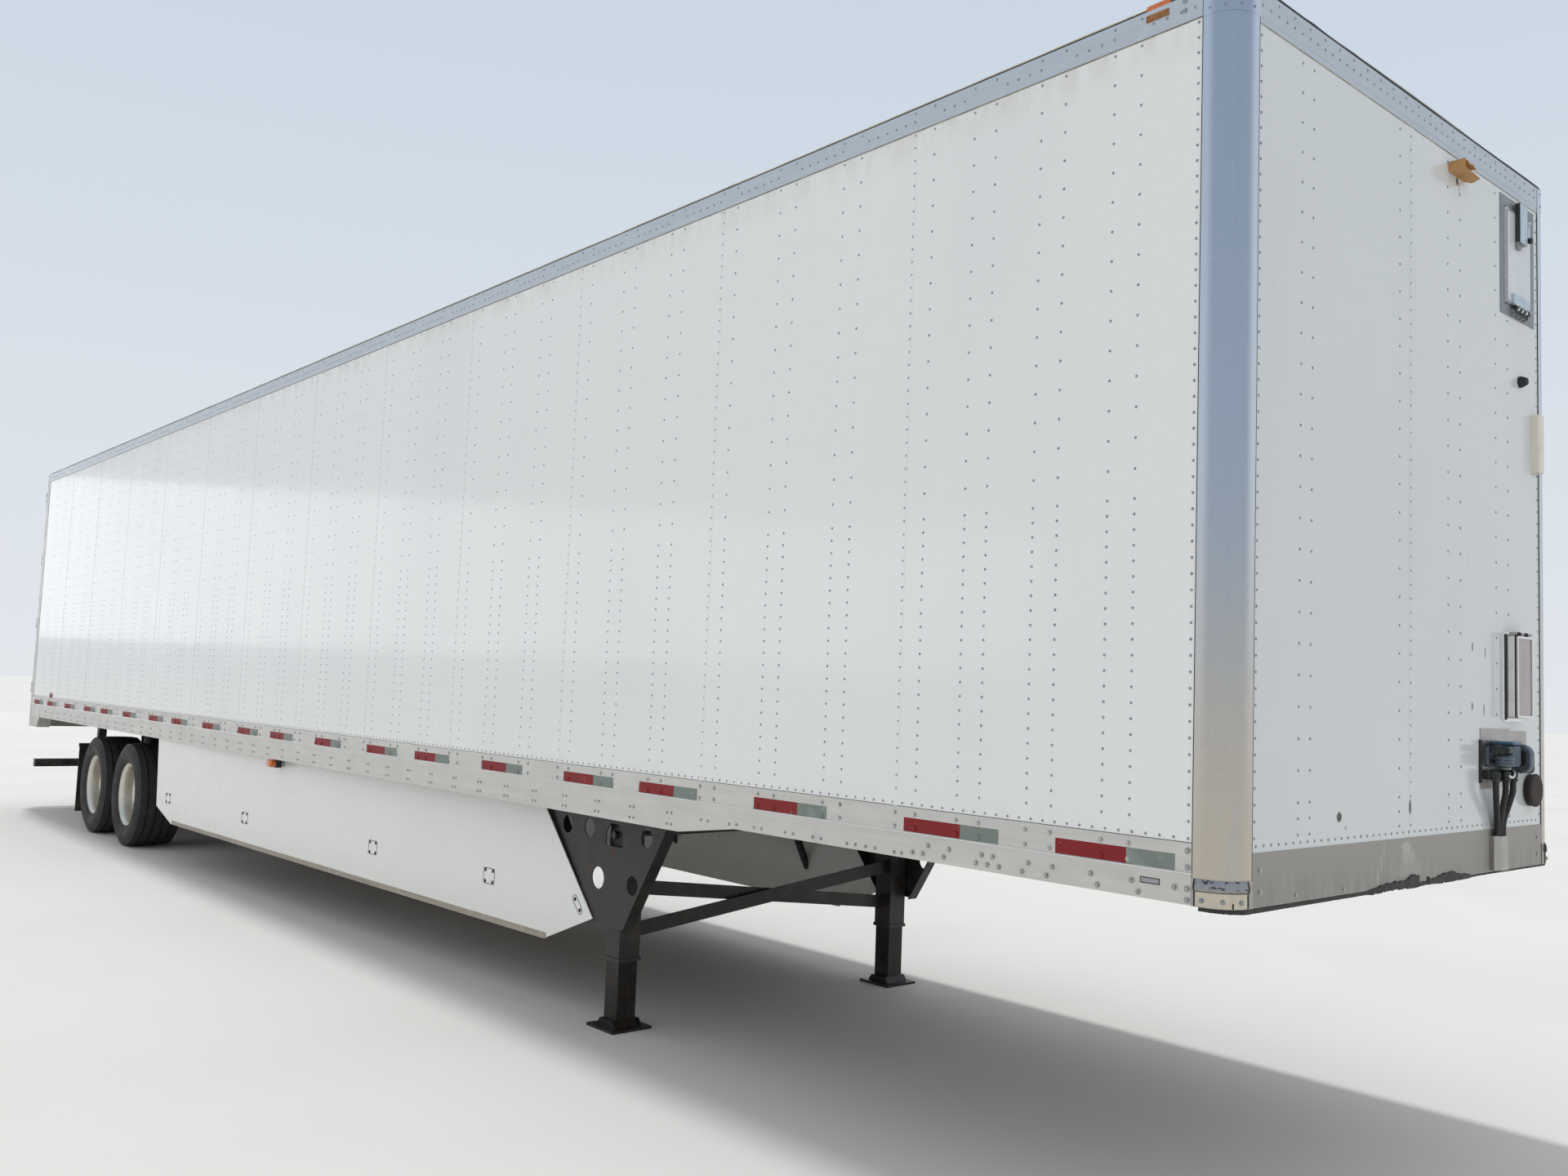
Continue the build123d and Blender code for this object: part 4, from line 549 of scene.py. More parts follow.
nodeFinish = {
    "whitePanelEnamel": ("side_wall_left", "side_wall_right", "door_left", "door_right"),
    "ventLeafEnamel": ("vent_door",), "nosePanelEnamel": ("front_wall",), "skirtEnamel": ("skirts",),
    "roofEnamel": ("roof",), "anodisedAluminium": ("corner_posts",), "millAluminium": ("bottom_rails",),
    "filmedAluminium": ("vent_frame",), "coatedRailAluminium": ("top_rails",), "noseRailAluminium": ("nose_rails",),
    "stainlessSheet": ("corner_guards", "hose_cover", "document_box", "nose_plate"),
    "rearFramePaint": ("rear_frame",), "laminatedOak": ("floor",), "redAcrylic": ("rear_lamps",),
    "galvanisedSteel": ("roof_bows", "lock_gear_left", "lock_gear_right", "vent_latch"),
    "mouldedRubber": ("mud_flaps", "air_springs", "rubber_stops", "service_hoses"),
    "amberAcrylic": ("marker_lamps",), "redHookPaint": ("holdbacks",), "sunBakedPlastic": ("broken_housing",),
    "creamPolycarbonate": ("telematics_unit",), "paintedCasting": ("nose_couplings",),
    "greyLidEnamel": ("document_lid",), "greasedSteel": ("leg_feet",),
    "blackChassisPaint": ("air_tank", "axles", "body_rails", "bogie_frame", "crank_shaft", "cross_members",
                          "flap_hangers", "landing_brackets", "leg_braces", "leg_tubes", "pickup_plate",
                          "skirt_struts", "trailing_arms", "underride_guard"),
}
finishOf = {member: finish for finish, members in nodeFinish.items() for member in members}
for name, node in nodes.items():
    finish = finishOf.get(name, "tyreRubber" if name.startswith("tyre") else "forgedAluminium")
    for holder in node.material_slots:
        holder.material = finishes[finish]
print("solids dressed")


# Rivets and bolts of the side walls

sideRivets = {
    # rear and front column of the first pairs, from the nose
    "firstPairs": ((-467, -361), (-777, -672), (-1093, -988), (-1400, -1298)),
    "pairPitch": 406.6, "pairWidth": 104, "pairCount": 35,     # evenly spaced pairs behind them
    "seamPitch": 1222, "seamFirst": -1400, "seamCount": 12,    # sheet joints: dense to the top
    "denseLow": 1404, "densePitch": 51.2, "denseCount": 21, "top": 3970,
    "wideLow": 2527, "widePitch": 102.4, "wideCount": 15,
    "frontEdge": -147, "rearEdge": -16014, "rowHeight": 1352, "rowPitch": 50.8,
    "nearSeam": 18,                         # columns this near a joint are redrawn dense
}
pairColumns = [x for pair in sideRivets["firstPairs"] for x in pair]
for k in range(1, sideRivets["pairCount"] + 1):
    front = sideRivets["firstPairs"][-1][1] - sideRivets["pairPitch"] * k
    pairColumns += [front, front - sideRivets["pairWidth"]]


def sideRivetPlaces(spec):
    dense = spec["denseLow"] + spec["densePitch"] * np.arange(spec["denseCount"])
    wide = spec["wideLow"] + spec["widePitch"] * np.arange(spec["wideCount"])
    full = np.arange(spec["denseLow"], spec["top"], spec["densePitch"])
    seams = spec["seamFirst"] - spec["seamPitch"] * np.arange(spec["seamCount"] + 1)
    places = np.concatenate([placesOf(x, np.concatenate([dense, wide])) for x in pairColumns])
    onSeam = np.abs(places[:, 0][:, None] - seams[None]).min(1) < spec["nearSeam"]
    rows = [places[~onSeam]] + [placesOf(x, full) for x in (*seams, spec["frontEdge"], spec["rearEdge"])]
    rows.append(placesOf(np.arange(spec["frontEdge"], spec["rearEdge"], -spec["rowPitch"]), spec["rowHeight"]))
    return np.concatenate(rows), seams


railBolts = {
    "columnHeights": (1315, 1264),      # two at each post
    # columns: distance from the nose, height; big washered heads ahead of the landing gear
    "washered": ((-190, 1199), (-321, 1167), (-346, 1200), (-476, 1168), (-503, 1201), (-658, 1202), (-683, 1171),
                 (-760, 1203), (-786, 1171), (-889, 1173), (-917, 1205), (-941, 1174), (-968, 1206), (-993, 1174),
                 (-1122, 1207), (-1147, 1176), (-1225, 1209), (-1251, 1176), (-1303, 1176)),
    "small": ((-1359, 1166), (-1398, 1166), (-1501, 1168), (-1552, 1169), (-1609, 1169), (-1657, 1168), (-1809, 1170),
              (-1859, 1171), (-1979, 1171), (-2030, 1172), (-2181, 1171), (-2232, 1171), (-2350, 1171),
              (-2401, 1169), (-2553, 1167), (-2604, 1168)),
    "collared": ((-146, 1165), (-146, 1199), (-146, 1264), (-146, 1315)),
    # behind the step: groups of four, half width across, rows
    "groupFirst": -2845, "groupPitch": 304.5, "groupCount": 43, "groupHalf": 16.5, "groupRows": (1176, 1125),
    "topEnds": (-160, -16000), "topRow": 4019, "topRowPitch": 51.8, "upperRow": 4053,
}


def railBoltPlaces(spec):
    places = [(x, z) for x in pairColumns for z in spec["columnHeights"]]
    middles = [spec["groupFirst"] - spec["groupPitch"] * i for i in range(spec["groupCount"])]
    groups = [(x + s * spec["groupHalf"], z) for x in middles for s in (-1, 1) for z in spec["groupRows"]]
    along = np.arange(*spec["topEnds"], -spec["topRowPitch"])
    columns = np.array(pairColumns).reshape(-1, 2)
    inPair = ((along[:, None] < columns[None].max(2)) & (along[:, None] > columns[None].min(2))).any(1)
    top = [(x, spec["topRow"]) for x in along[~inPair]]
    return (np.array(places), np.array(groups + list(spec["small"])),
            np.array(top + [(x, spec["upperRow"]) for x in pairColumns]))


rivetPlaces, seamPlaces = sideRivetPlaces(sideRivets)
boltPlaces, smallPlaces, topPlaces = railBoltPlaces(railBolts)
# profiles as (radius, height): rivets of the panels and the top rails, a bolt with its collar, a bolt on a
# dished washer, low domes
rivetProfile = np.array([(1.0, 0.0), (0.86, 0.62), (0.45, 0.95), (0, 1.0)])
rivetShape, topShape = rivetProfile * (5.2, 2.6), rivetProfile * (5.2, 2.8)
boltShape = [(9.9, 0.0), (9.9, 1.0), (6.6, 1.2), (6.3, 4.0), (4.0, 5.0), (0, 5.2)]
washerShape = [(11, 0), (11, 1.5), (8.5, 2), (7.6, 0.6), (6, 0.6), (5.6, 5), (3.6, 6.4), (0, 7)]
smallShape = [(7, 0), (6.7, 1.8), (4.2, 3.2), (0, 3.6)]
for sideName, side in bothSides:
    makePiece("rivets_" + sideName, [heads(onSide(rivetPlaces, side * sidePlane), (0, side, 0), rivetShape)],
              "rivetAluminium")
for sideName, side in bothSides:
    rail, outward = side * railPlane, (0, side, 0)
    makePiece("rail_bolts_" + sideName,
              [heads(onSide(boltPlaces, rail), outward, boltShape, 8)]
              + [heads(onSide(railBolts[kind], rail), outward, washerShape, 14) for kind in ("washered", "collared")],
              "platedBolt")
    makePiece("rail_domes_" + sideName, [heads(onSide(smallPlaces, rail), outward, smallShape, 8)], "rivetAluminium")
    makePiece("top_rail_rivets_" + sideName, [heads(onSide(topPlaces, rail), outward, topShape)], "rivetAluminium")
print("side rivets", len(rivetPlaces), "rail bolts", len(boltPlaces) + len(smallPlaces), "top rail rivets",
      len(topPlaces), "a side")


# Nose rivets

noseRivets = {
    "dense": (-1150, -68, 1150),            # Y of the columns riveted all the way
    "wide": (-882, -806, -159, 255, 367, 712, 835),
    "low": 1360, "high": 3972, "densePitch": 51.2, "widePitch": 102.4,
    # rows across: from, to, pitch; then height and pitch of the top ones
    "row": (-1140, 1145, 46), "rowHeight": 1336, "topEnds": (-1150, 1151), "topRows": ((4018, 51.8), (4052, 103.6)),
    "railBolts": ((-1120, 1262), (-1118, 1196), (-896, 1172), (-575, 1168), (1118, 1262), (1118, 1196)),
    # no rivets under these nodes: node, how far round it, below it and above it
    "covering": (("vent_frame", 8, 8, 1000), ("document_box", 4, 0, 20), ("nose_plate", 6, 6, 6)),
}


def noseRivetPlaces(spec):
    dense = np.arange(spec["low"], spec["high"], spec["densePitch"])
    lowest = spec["low"] + spec["densePitch"] * np.arange(3)      # the first few sit at half pitch
    wide = np.concatenate([lowest, np.arange(lowest[-1] + spec["widePitch"], spec["high"], spec["widePitch"])])
    places = np.concatenate([placesOf(y, dense) for y in spec["dense"]] + [placesOf(y, wide) for y in spec["wide"]]
                            + [placesOf(np.arange(*spec["row"]), spec["rowHeight"])])
    covered = np.zeros(len(places), bool)
    for member, around, below, above in spec["covering"]:
        low, high = np.array(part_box(member)) * 1000
        covered |= ((places[:, 0] > low[1] - around) & (places[:, 0] < high[1] + around)
                    & (places[:, 1] > low[2] - below) & (places[:, 1] < high[2] + above))
    return places[~covered]


nosePlaces = noseRivetPlaces(noseRivets)
topRowPlaces = np.concatenate([placesOf(np.arange(*noseRivets["topEnds"], pitch), z)
                               for z, pitch in noseRivets["topRows"]])
makePiece("rivets_nose", [heads(onNose(nosePlaces, nosePlane), (1, 0, 0), rivetShape),
                          heads(onNose(topRowPlaces, noseRailPlane), (1, 0, 0), rivetShape)], "rivetAluminium")
makePiece("nose_rail_bolts", [heads(onNose(noseRivets["railBolts"], noseRailPlane), (1, 0, 0), boltShape, 8)],
          "platedBolt")
print("nose rivets", len(nosePlaces) + len(topRowPlaces))


# Sheet joints, laps and the corner caps' rivets

laps = {"width": 26, "back": 16, "proud": 0.9, "ease": 0.4, "low": 1339.5, "high": 3979.5,
        "nose": ((-78, 1317), (-46, 3979))}
for sideName, side in bothSides:
    rear = [noseX + x - laps["back"] for x in seamPlaces]
    makePiece("sheet_laps_" + sideName,
              [platePart("y", side * sidePlane, side * (sidePlane + laps["proud"]), (x, laps["low"]),
                         (x + laps["width"], laps["high"]), laps["ease"]) for x in rear], "whitePanelEnamel", sharp=20)
makePiece("sheet_lap_nose", [platePart("x", nosePlane, nosePlane + laps["proud"], *laps["nose"], laps["ease"])],
          "nosePanelEnamel", sharp=20)

cornerRivets = {
    "radius": 105,
    "capHeights": (3996, 4052), "capAngles": (7, 34, 62, 89), "capProud": 1.4,       # degrees round the corner
    "guardHeights": (1171,), "guardAngles": (18.6, 50, 83), "guardProud": 5.0,
    "domes": ((-198, 4021), (-198, 4053)),
    "guardShape": ((8.5, 0), (8.5, 1.2), (6, 1.6), (5.6, 4), (3, 5.4), (0, 5.8)),
    "domeShape": ((9, 0), (8, 3), (4.5, 5), (0, 5.6)),
}


# Places on the rounded corner: centre of the round plus its radius at each angle, with the outward way there.
def roundCorner(angles, heights, proud, side):
    r = cornerRivets["radius"] + proud
    a, z = np.meshgrid(np.radians(angles), np.asarray(heights, float))
    a, z = a.ravel(), z.ravel()
    centre = (noseRailPlane - cornerRivets["radius"], railPlane - cornerRivets["radius"])
    places = np.stack([centre[0] + r * np.cos(a), side * (centre[1] + r * np.sin(a)), z], -1)
    return places, np.stack([np.cos(a), side * np.sin(a), np.zeros(len(a))], -1)


parts, looks = [], cornerRivets
for sideName, side in bothSides:
    parts += [heads(*roundCorner(looks["capAngles"], looks["capHeights"], looks["capProud"], side), rivetShape),
              heads(*roundCorner(looks["guardAngles"], looks["guardHeights"], looks["guardProud"], side),
                    looks["guardShape"], 12),
              heads(onSide(looks["domes"], side * railPlane), (0, side, 0), looks["domeShape"], 12)]
makePiece("corner_rivets", parts, "rivetAluminium")

cornerGuard = {
    # section from the foot up: out from the post's face, height; the lip is bent out over the lower band
    "section": ((2.6, 1151), (4.6, 1152), (5.0, 1160), (4.8, 1196), (5.6, 1199), (8.6, 1202), (9.2, 1208),
                (7.6, 1222), (4.2, 1232), (3.2, 1234), (2.6, 1232)),
    "flangeFrom": 7955, "lastAngle": 2, "seamProud": 0.9,
    # dark seams: a section as above, where it starts and where it ends, as shares of the way round
    "seams": ((((4.6, 1196.5), (6.2, 1197), (6.4, 1199.4), (5, 1199.6)), 0.03, 0.965),
              (((4.8, 1152), (6.2, 1152), (6.2, 1169), (4.8, 1169)), 0.655, 0.68)),
    "endSeams": ((0.0, 0.03), (0.965, 1.0)),
}


# Section carried along the post's flange and round its corner: on the flange out is along Y, then it turns.
def guardPart(section, side, first=0.0, last=1.0):
    r = cornerRivets["radius"]
    cx, cy = noseRailPlane - r, railPlane - r
    flat, arc = cx - cornerGuard["flangeFrom"], r * math.radians(90 - cornerGuard["lastAngle"])
    s = np.linspace(first, last, 40) * (flat + arc)
    a = math.pi / 2 - np.maximum(s - flat, 0) / r
    x0 = cornerGuard["flangeFrom"] + np.minimum(s, flat)
    out, z = np.array(section, float).T
    x = x0[:, None] + (r + out[None]) * np.cos(a)[:, None]
    y = side * (cy + (r + out[None]) * np.sin(a)[:, None])
    return joinedSections(np.stack(np.broadcast_arrays(x, y, z[None]), -1))


edge = [(out + cornerGuard["seamProud"], z) for out, z in cornerGuard["section"][:-1]] + [cornerGuard["section"][-1]]
for sideName, side in bothSides:
    makePiece("corner_guard_lip_" + sideName, [guardPart(cornerGuard["section"], side)], "guardSheet", weld=True,
              sharp=40)
    makePiece("corner_guard_seams_" + sideName,
              [guardPart(edge, side, *ends) for ends in cornerGuard["endSeams"]]
              + [guardPart(section, side, *ends) for section, *ends in cornerGuard["seams"]],
              "blackSealant", weld=True)
print("laps and corners done")


# Conspicuity tape

tape = {
    # rear end of each strip, from the nose
    "places": (-648, -1352, -2238, -3097, -3777, -4658, -5515, -6226, -7107, -7991, -8708, -9593, -10456, -11161,
               -12055, -12889, -13565, -14437, -15275, -15958),
    "red": 280, "silver": 178, "low": 1250, "high": 1301, "thick": 0.5, "clear": 8,
    "bump": ((12, 0), (10.5, 3.4), (6, 5.4), (0, 5.9)),         # the tape over a bolt head
}


def tapeParts(start, length, side):
    face = side * (railPlane + tape["thick"])
    part = platePart("y", side * railPlane, face, (noseX + start, tape["low"]),
                     (noseX + start + length, tape["high"]), 0.3)
    under = boltPlaces[(boltPlaces[:, 1] == railBolts["columnHeights"][1]) & (boltPlaces[:, 0] > start + tape["clear"])
                       & (boltPlaces[:, 0] < start + length - tape["clear"])]
    return [part] + ([heads(onSide(under, face), (0, side, 0), tape["bump"], 12)] if len(under) else [])


for sideName, side in bothSides:
    red, silver = [], []
    for start in tape["places"]:
        red += tapeParts(start, tape["red"], side)
        silver += tapeParts(start + tape["red"], tape["silver"], side)
    makePiece("tape_red_" + sideName, red, "redReflectiveTape", sharp=25)
    makePiece("tape_silver_" + sideName, silver, "silverReflectiveTape", sharp=25)
print("tape laid", 2 * len(tape["places"]))


# Tyres

tyreLooks = {
    "radius": 500, "crown": 7, "treadHalf": 192,
    "grooves": (-122, -42, 42, 122),
    # half of a groove's section: place from its middle, depth
    "groove": ((10.7, 0), (8.5, 2.5), (6.5, 15)),
    "around": 192, "notchDeep": 3.5, "notchEvery": 4, "notchAcross": (190, 200), "notchFrom": 474,
    # columns: place across, radius. The bulged side wall with its two rings, then the way back along the inside
    "wall": ((-172, 291), (-181, 297), (-190, 306), (-199, 322), (-204, 330), (-207, 331), (-208, 336), (-206, 338),
             (-214, 362), (-219, 386), (-221, 408), (-222, 410), (-222, 416), (-219, 418), (-216, 436), (-210, 452),
             (-205, 463), (-201, 468), (-199, 476), (-196, 484), (-192, 490)),
    "inside": ((160, 300), (180, 350), (196, 410), (180, 458), (120, 474), (0, 478), (-120, 474), (-180, 458),
               (-196, 410), (-180, 350), (-160, 300)),
}


# Section of a wide single tyre as (place across, radius), closed: side wall, shoulder, four grooves, side wall
# and the inside. The tread's crown is a parabola: radius - crown * (place / half) ** 2.
def tyreSection(spec):
    outer = list(spec["wall"])
    for middle in spec["grooves"]:
        crown = spec["radius"] - spec["crown"] * (middle / spec["treadHalf"]) ** 2
        outer += [(middle - half, crown - deep) for half, deep in spec["groove"]]
        outer += [(middle + half, crown - deep) for half, deep in reversed(spec["groove"])]
    return outer + [(-s, r) for s, r in reversed(spec["wall"])] + list(spec["inside"])


# Shoulder notches: the radius of the outermost tread points drops at one of every few steps round.
def notchWave(section, angles):
    across, (first, last) = np.abs(section[:, 0]), tyreLooks["notchAcross"]
    shoulder = ((across > first) & (across < last) & (section[:, 1] > tyreLooks["notchFrom"])).astype(float)
    step = np.round(angles / angles[1]).astype(int)
    return -tyreLooks["notchDeep"] * shoulder[:, None] * (step % tyreLooks["notchEvery"] == 0)[None]


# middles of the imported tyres: half the sum of a box's corners, from metres to millimetres
middles = {axleName: np.add(*np.array(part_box("tyre_" + axleName + "_left"))) / 2 * 1000
           for axleName in ("front", "rear")}
wheelPlaces = [(axleName + "_" + sideName, side,
                (middles[axleName][0], side * middles["front"][1], tyreLooks["radius"]))
               for axleName in middles for sideName, side in bothSides]
section = tyreSection(tyreLooks)
for wheelName, side, centre in wheelPlaces:
    nodeName = "tyre_" + wheelName
    part = turned(section, centre, angles=tyreLooks["around"], wave=notchWave, closeProfile=True)
    piece = makePiece("treaded_" + nodeName, [part], "tyreRubber", "wheel_" + wheelName, weld=True, sharp=28)
    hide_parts(nodeName)
print("tyres made")


# Wheels

wheelLooks = {
    "holes": 10, "holeCircle": 204, "holeLong": 1.15, "cellIn": 168, "cellOut": 240, "nutCircle": 142.5,
    # columns: place out from the middle plane, radius
    "barrel": ((62, 240), (62, 247), (65, 255), (72, 261), (84, 263), (120, 264), (148, 267), (160, 272), (170, 281),
               (175, 290), (180, 296), (184, 298), (185, 301), (181, 304), (176, 301), (172, 291), (150, 289),
               (134, 281), (80, 276), (0, 274), (-120, 278), (-146, 288), (-172, 291), (-176, 301), (-181, 304),
               (-185, 301), (-180, 292), (-170, 280), (-140, 268), (-60, 264), (20, 262), (36, 256), (40, 248),
               (40, 240)),
    "hub": ((62, 168), (62, 122), (64, 117), (72, 113), (92, 111), (97, 107), (98, 96), (101, 92), (112, 90),
            (118, 86), (122, 76), (124, 60), (125, 30), (125.5, 12), (126, 0)),
    "inside": ((40, 168), (40, 120), (38, 100), (38, 0)),
    "drum": ((37, 90), (37, 205), (33, 216), (24, 222), (-40, 222), (-44, 226), (-52, 226), (-56, 222), (-128, 222),
             (-132, 228), (-146, 230), (-152, 228), (-152, 206), (-100, 204), (-20, 204), (0, 190), (10, 90)),
    # the disc round a hand hole, outside and inside: place of the disc, then place and radius down the hole's wall
    "face": (62, ((51, 24), (59, 24), (62, 28))), "back": (40, ((51, 24), (40, 24))),
    # columns: radius, height
    "nut": ((22, 0), (22, 3), (18.5, 4), (18.5, 22), (15, 26), (11, 26), (11, 40), (9, 42), (0, 42)),
}


# One cell of the disc round a hand hole: point = hole edge + v * (cell edge - hole edge), where u goes
# round the hole and the cell edge is the square 1 / max(|cos u|, |sin u|) bent to a sector of the disc.
def discCell(spec, centreAngle, place, holeRows):
    u = np.arange(32) * 2 * math.pi / 32
    reach = 1 / np.maximum(np.abs(np.cos(u)), np.abs(np.sin(u)))
    edgeR = (spec["cellIn"] + spec["cellOut"]) / 2 + (spec["cellOut"] - spec["cellIn"]) / 2 * np.cos(u) * reach
    edgeA = math.pi / spec["holes"] * np.sin(u) * reach
    edge = np.stack([edgeR * np.cos(edgeA), edgeR * np.sin(edgeA)], -1)
    rows = []
    for out, radius in holeRows:
        last = np.stack([spec["holeCircle"] + radius * np.cos(u), radius * spec["holeLong"] * np.sin(u)], -1)
        rows.append(byAxis("y", out, *last.T))
    rows += [byAxis("y", place, *(last + (edge - last) * v).T) for v in (0.35, 0.7, 1.0)]
    points = np.array(rows)
    cosine, sine = math.cos(centreAngle), math.sin(centreAngle)
    points = byAxis("y", points[..., 1], points[..., 0] * cosine - points[..., 2] * sine,
                    points[..., 0] * sine + points[..., 2] * cosine)
    return points.reshape(-1, 3), [gridFaces(len(rows), 32, closeColumns=True)]


looks, holes = wheelLooks, wheelLooks["holes"]
u = np.radians(np.arange(-45, 45, 11.25))
cellAngles = np.concatenate([2 * math.pi / holes * k + math.pi / holes * np.tan(u) for k in range(holes)])
nutAngles = 2 * math.pi * (np.arange(holes) + 0.5) / holes
for wheelName, side, centre in wheelPlaces:
    body = "wheel_" + wheelName
    parts = [turned(looks[key], centre, angles=cellAngles, side=side) for key in ("barrel", "hub", "inside")]
    for k in range(holes):
        for key in ("face", "back"):
            points, tables = discCell(looks, 2 * math.pi * k / holes, *looks[key])
            parts.append((points * [1, side, 1] + centre, tables))
    piece = makePiece("hand_hole_" + body, parts, "forgedAluminium", body, weld=True, sharp=30)
    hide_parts(body)
    studs = byAxis("y", side * looks["face"][0], looks["nutCircle"] * np.cos(nutAngles),
                   looks["nutCircle"] * np.sin(nutAngles)) + centre
    makePiece("nuts_" + body, [heads(studs, (0, side, 0), looks["nut"], 6)], "platedBolt", body)
    makePiece("drum_" + body, [turned(looks["drum"], centre, angles=64, side=side, closeProfile=True)],
              "castIron", body, weld=True)
print("wheels made")


# Roof edge

roofEdge = {
    "height": 4073, "cornerRadius": 92, "dent": 2.2, "step": 60, "rear": -7950, "reach": (8074, 1292.5),
    "cornerSteps": 12, "pastCorner": 20, "upShare": 0.6,            # how much of a dent goes up or down
    # inset and rise of the rolled edge and of the joint under it, how far the joint wanders
    "roll": (9, 6), "joint": (6, 0, 0.6), "noseFrom": 8030,
    "rolled": (5.6, 7), "sideScale": 1.15, "noseScale": 1.25,       # half width and half height
    "jointOutline": ((-5, -2), (5, -2), (5, 3), (-5, 3)),
}


# Path round the roof: along one side, round the front corner, across the nose and back along the other
# side; small seeded dents push it in and down.
def roofEdgePath(inset, rise, dent):
    reachX, reachY = np.array(roofEdge["reach"]) - inset
    r, step = roofEdge["cornerRadius"], roofEdge["step"]
    x = np.arange(roofEdge["rear"], reachX - r, step)
    a = np.linspace(0, math.pi / 2, roofEdge["cornerSteps"])
    side = placesOf(x, -reachY)
    corner = np.stack([reachX - r + r * np.sin(a), -reachY + r - r * np.cos(a)], -1)
    front = placesOf(reachX, np.arange(-reachY + r + roofEdge["pastCorner"], reachY - r, step))
    path = np.concatenate([side, corner, front, corner[::-1] * [1, -1], side[::-1] * [1, -1]])
    noise = np.random.default_rng(7).normal(0, 1, (len(path), 2))
    noise = (noise + np.roll(noise, 1, 0) + np.roll(noise, -1, 0)) / 3 * dent
    out = np.where(np.abs(path[:, 1:2]) > reachY - 1, [[0, 1.0]], [[1.0, 0]]) * np.sign(path)
    return np.column_stack([path - out * np.abs(noise[:, :1]),
                            roofEdge["height"] + rise + noise[:, 1] * roofEdge["upShare"]])


rolled = circleOutline(1, 10) * roofEdge["rolled"]
rollPath = roofEdgePath(*roofEdge["roll"], roofEdge["dent"])
turns = np.flatnonzero(rollPath[:, 0] > roofEdge["noseFrom"])       # where the path lies on the nose
makePiece("roof_edge_roll", [carried(path, rolled * roofEdge["sideScale"])
                             for path in (rollPath[:turns[0] + 1], rollPath[turns[-1]:])], "roofEdgeStrip", sharp=60)
makePiece("roof_edge_nose", [carried(rollPath[turns[0]:turns[-1] + 1], rolled * roofEdge["noseScale"])],
          "blackSealant", sharp=60)
makePiece("roof_edge_sealant", [carried(roofEdgePath(*roofEdge["joint"]), roofEdge["jointOutline"])],
          "blackSealant", sharp=30)
print("roof edge made")


# Torn strip under the nose rail

tornStrip = {
    # columns: place along the nose from the kerb side, top edge, lower edge. Past 1187 either way it is the
    # way round the corner. From -410 to 500 it has been torn up over the rail's face.
    "line": ((-1352, 1149, 1138), (-1187, 1149, 1134), (-700, 1149, 1136), (-430, 1149, 1137), (-410, 1150, 1136),
             (-364, 1157, 1136), (-258, 1166, 1140), (-136, 1168, 1139), (-67, 1183, 1137), (-9.5, 1179, 1138),
             (-8.5, 1153, 1139), (61, 1152, 1140), (62, 1172, 1139), (95, 1156, 1140), (149, 1167, 1138),
             (272, 1174, 1139), (334, 1164, 1140), (398, 1157, 1141), (471, 1150, 1142), (650, 1149, 1143),
             (1187, 1149, 1142), (1352, 1149, 1143)),
    "steps": 700, "ragged": 3.5, "thick": 4, "cornerFrom": 1187.5,
    "tornAbove": 1149.5, "tornOver": 6,     # whole at this height, fully torn so much higher
    "toothCells": 160, "leanCells": 90, "lean": 2.5, "tucked": -3.0, "lifted": 3.6,
}


# A strip whose two edges follow the table with a seeded ragged tooth where it is torn; round the corners
# point = corner centre + radius * (cos a, sin a), with a the way past the corner's start over the radius.
def tornStripPart(spec):
    rows = np.array(spec["line"], float)
    y = np.linspace(rows[0, 0], rows[-1, 0], spec["steps"])
    rng = np.random.default_rng(11)
    high, low = np.interp(y, rows[:, 0], rows[:, 1]), np.interp(y, rows[:, 0], rows[:, 2])
    torn = np.clip((high - spec["tornAbove"]) / spec["tornOver"], 0, 1)
    cells = spec["toothCells"]
    coarse = np.interp(y, np.linspace(y[0], y[-1], cells), rng.uniform(-1, 1, cells))
    high = high + torn * spec["ragged"] * (coarse + 0.5 * rng.uniform(-1, 1, len(y)))
    low = low + 0.6 * spec["ragged"] * (0.3 + torn) * rng.uniform(-1, 1, len(y))
    cells = spec["leanCells"]
    lean = spec["lean"] * torn * np.interp(y, np.linspace(y[0], y[-1], cells), rng.uniform(-0.2, 1, cells))
    back = spec["tucked"] + spec["lifted"] * torn   # tucked under the rail where it still sits in place
    radius = cornerRivets["radius"]
    a = np.clip((np.abs(y) - spec["cornerFrom"]) / radius, 0, math.pi / 2)
    ring = []
    for out, z in ((back, high), (back + spec["thick"] + lean, high - 1), (back + spec["thick"] + 0.5 * lean, low),
                   (back, low)):
        x = noseRailPlane - radius + (radius + out) * np.cos(a)
        bent = np.sign(y) * (spec["cornerFrom"] + (radius + out) * np.sin(a))
        ring.append(np.stack([x, np.where(np.abs(y) > spec["cornerFrom"], bent, y), z], -1))
    return joinedSections(np.stack(ring, 1))


makePiece("torn_nose_strip", [tornStripPart(tornStrip)], "blackSealant", weld=True, sharp=20)
print("torn strip made")


# Skirt fixings

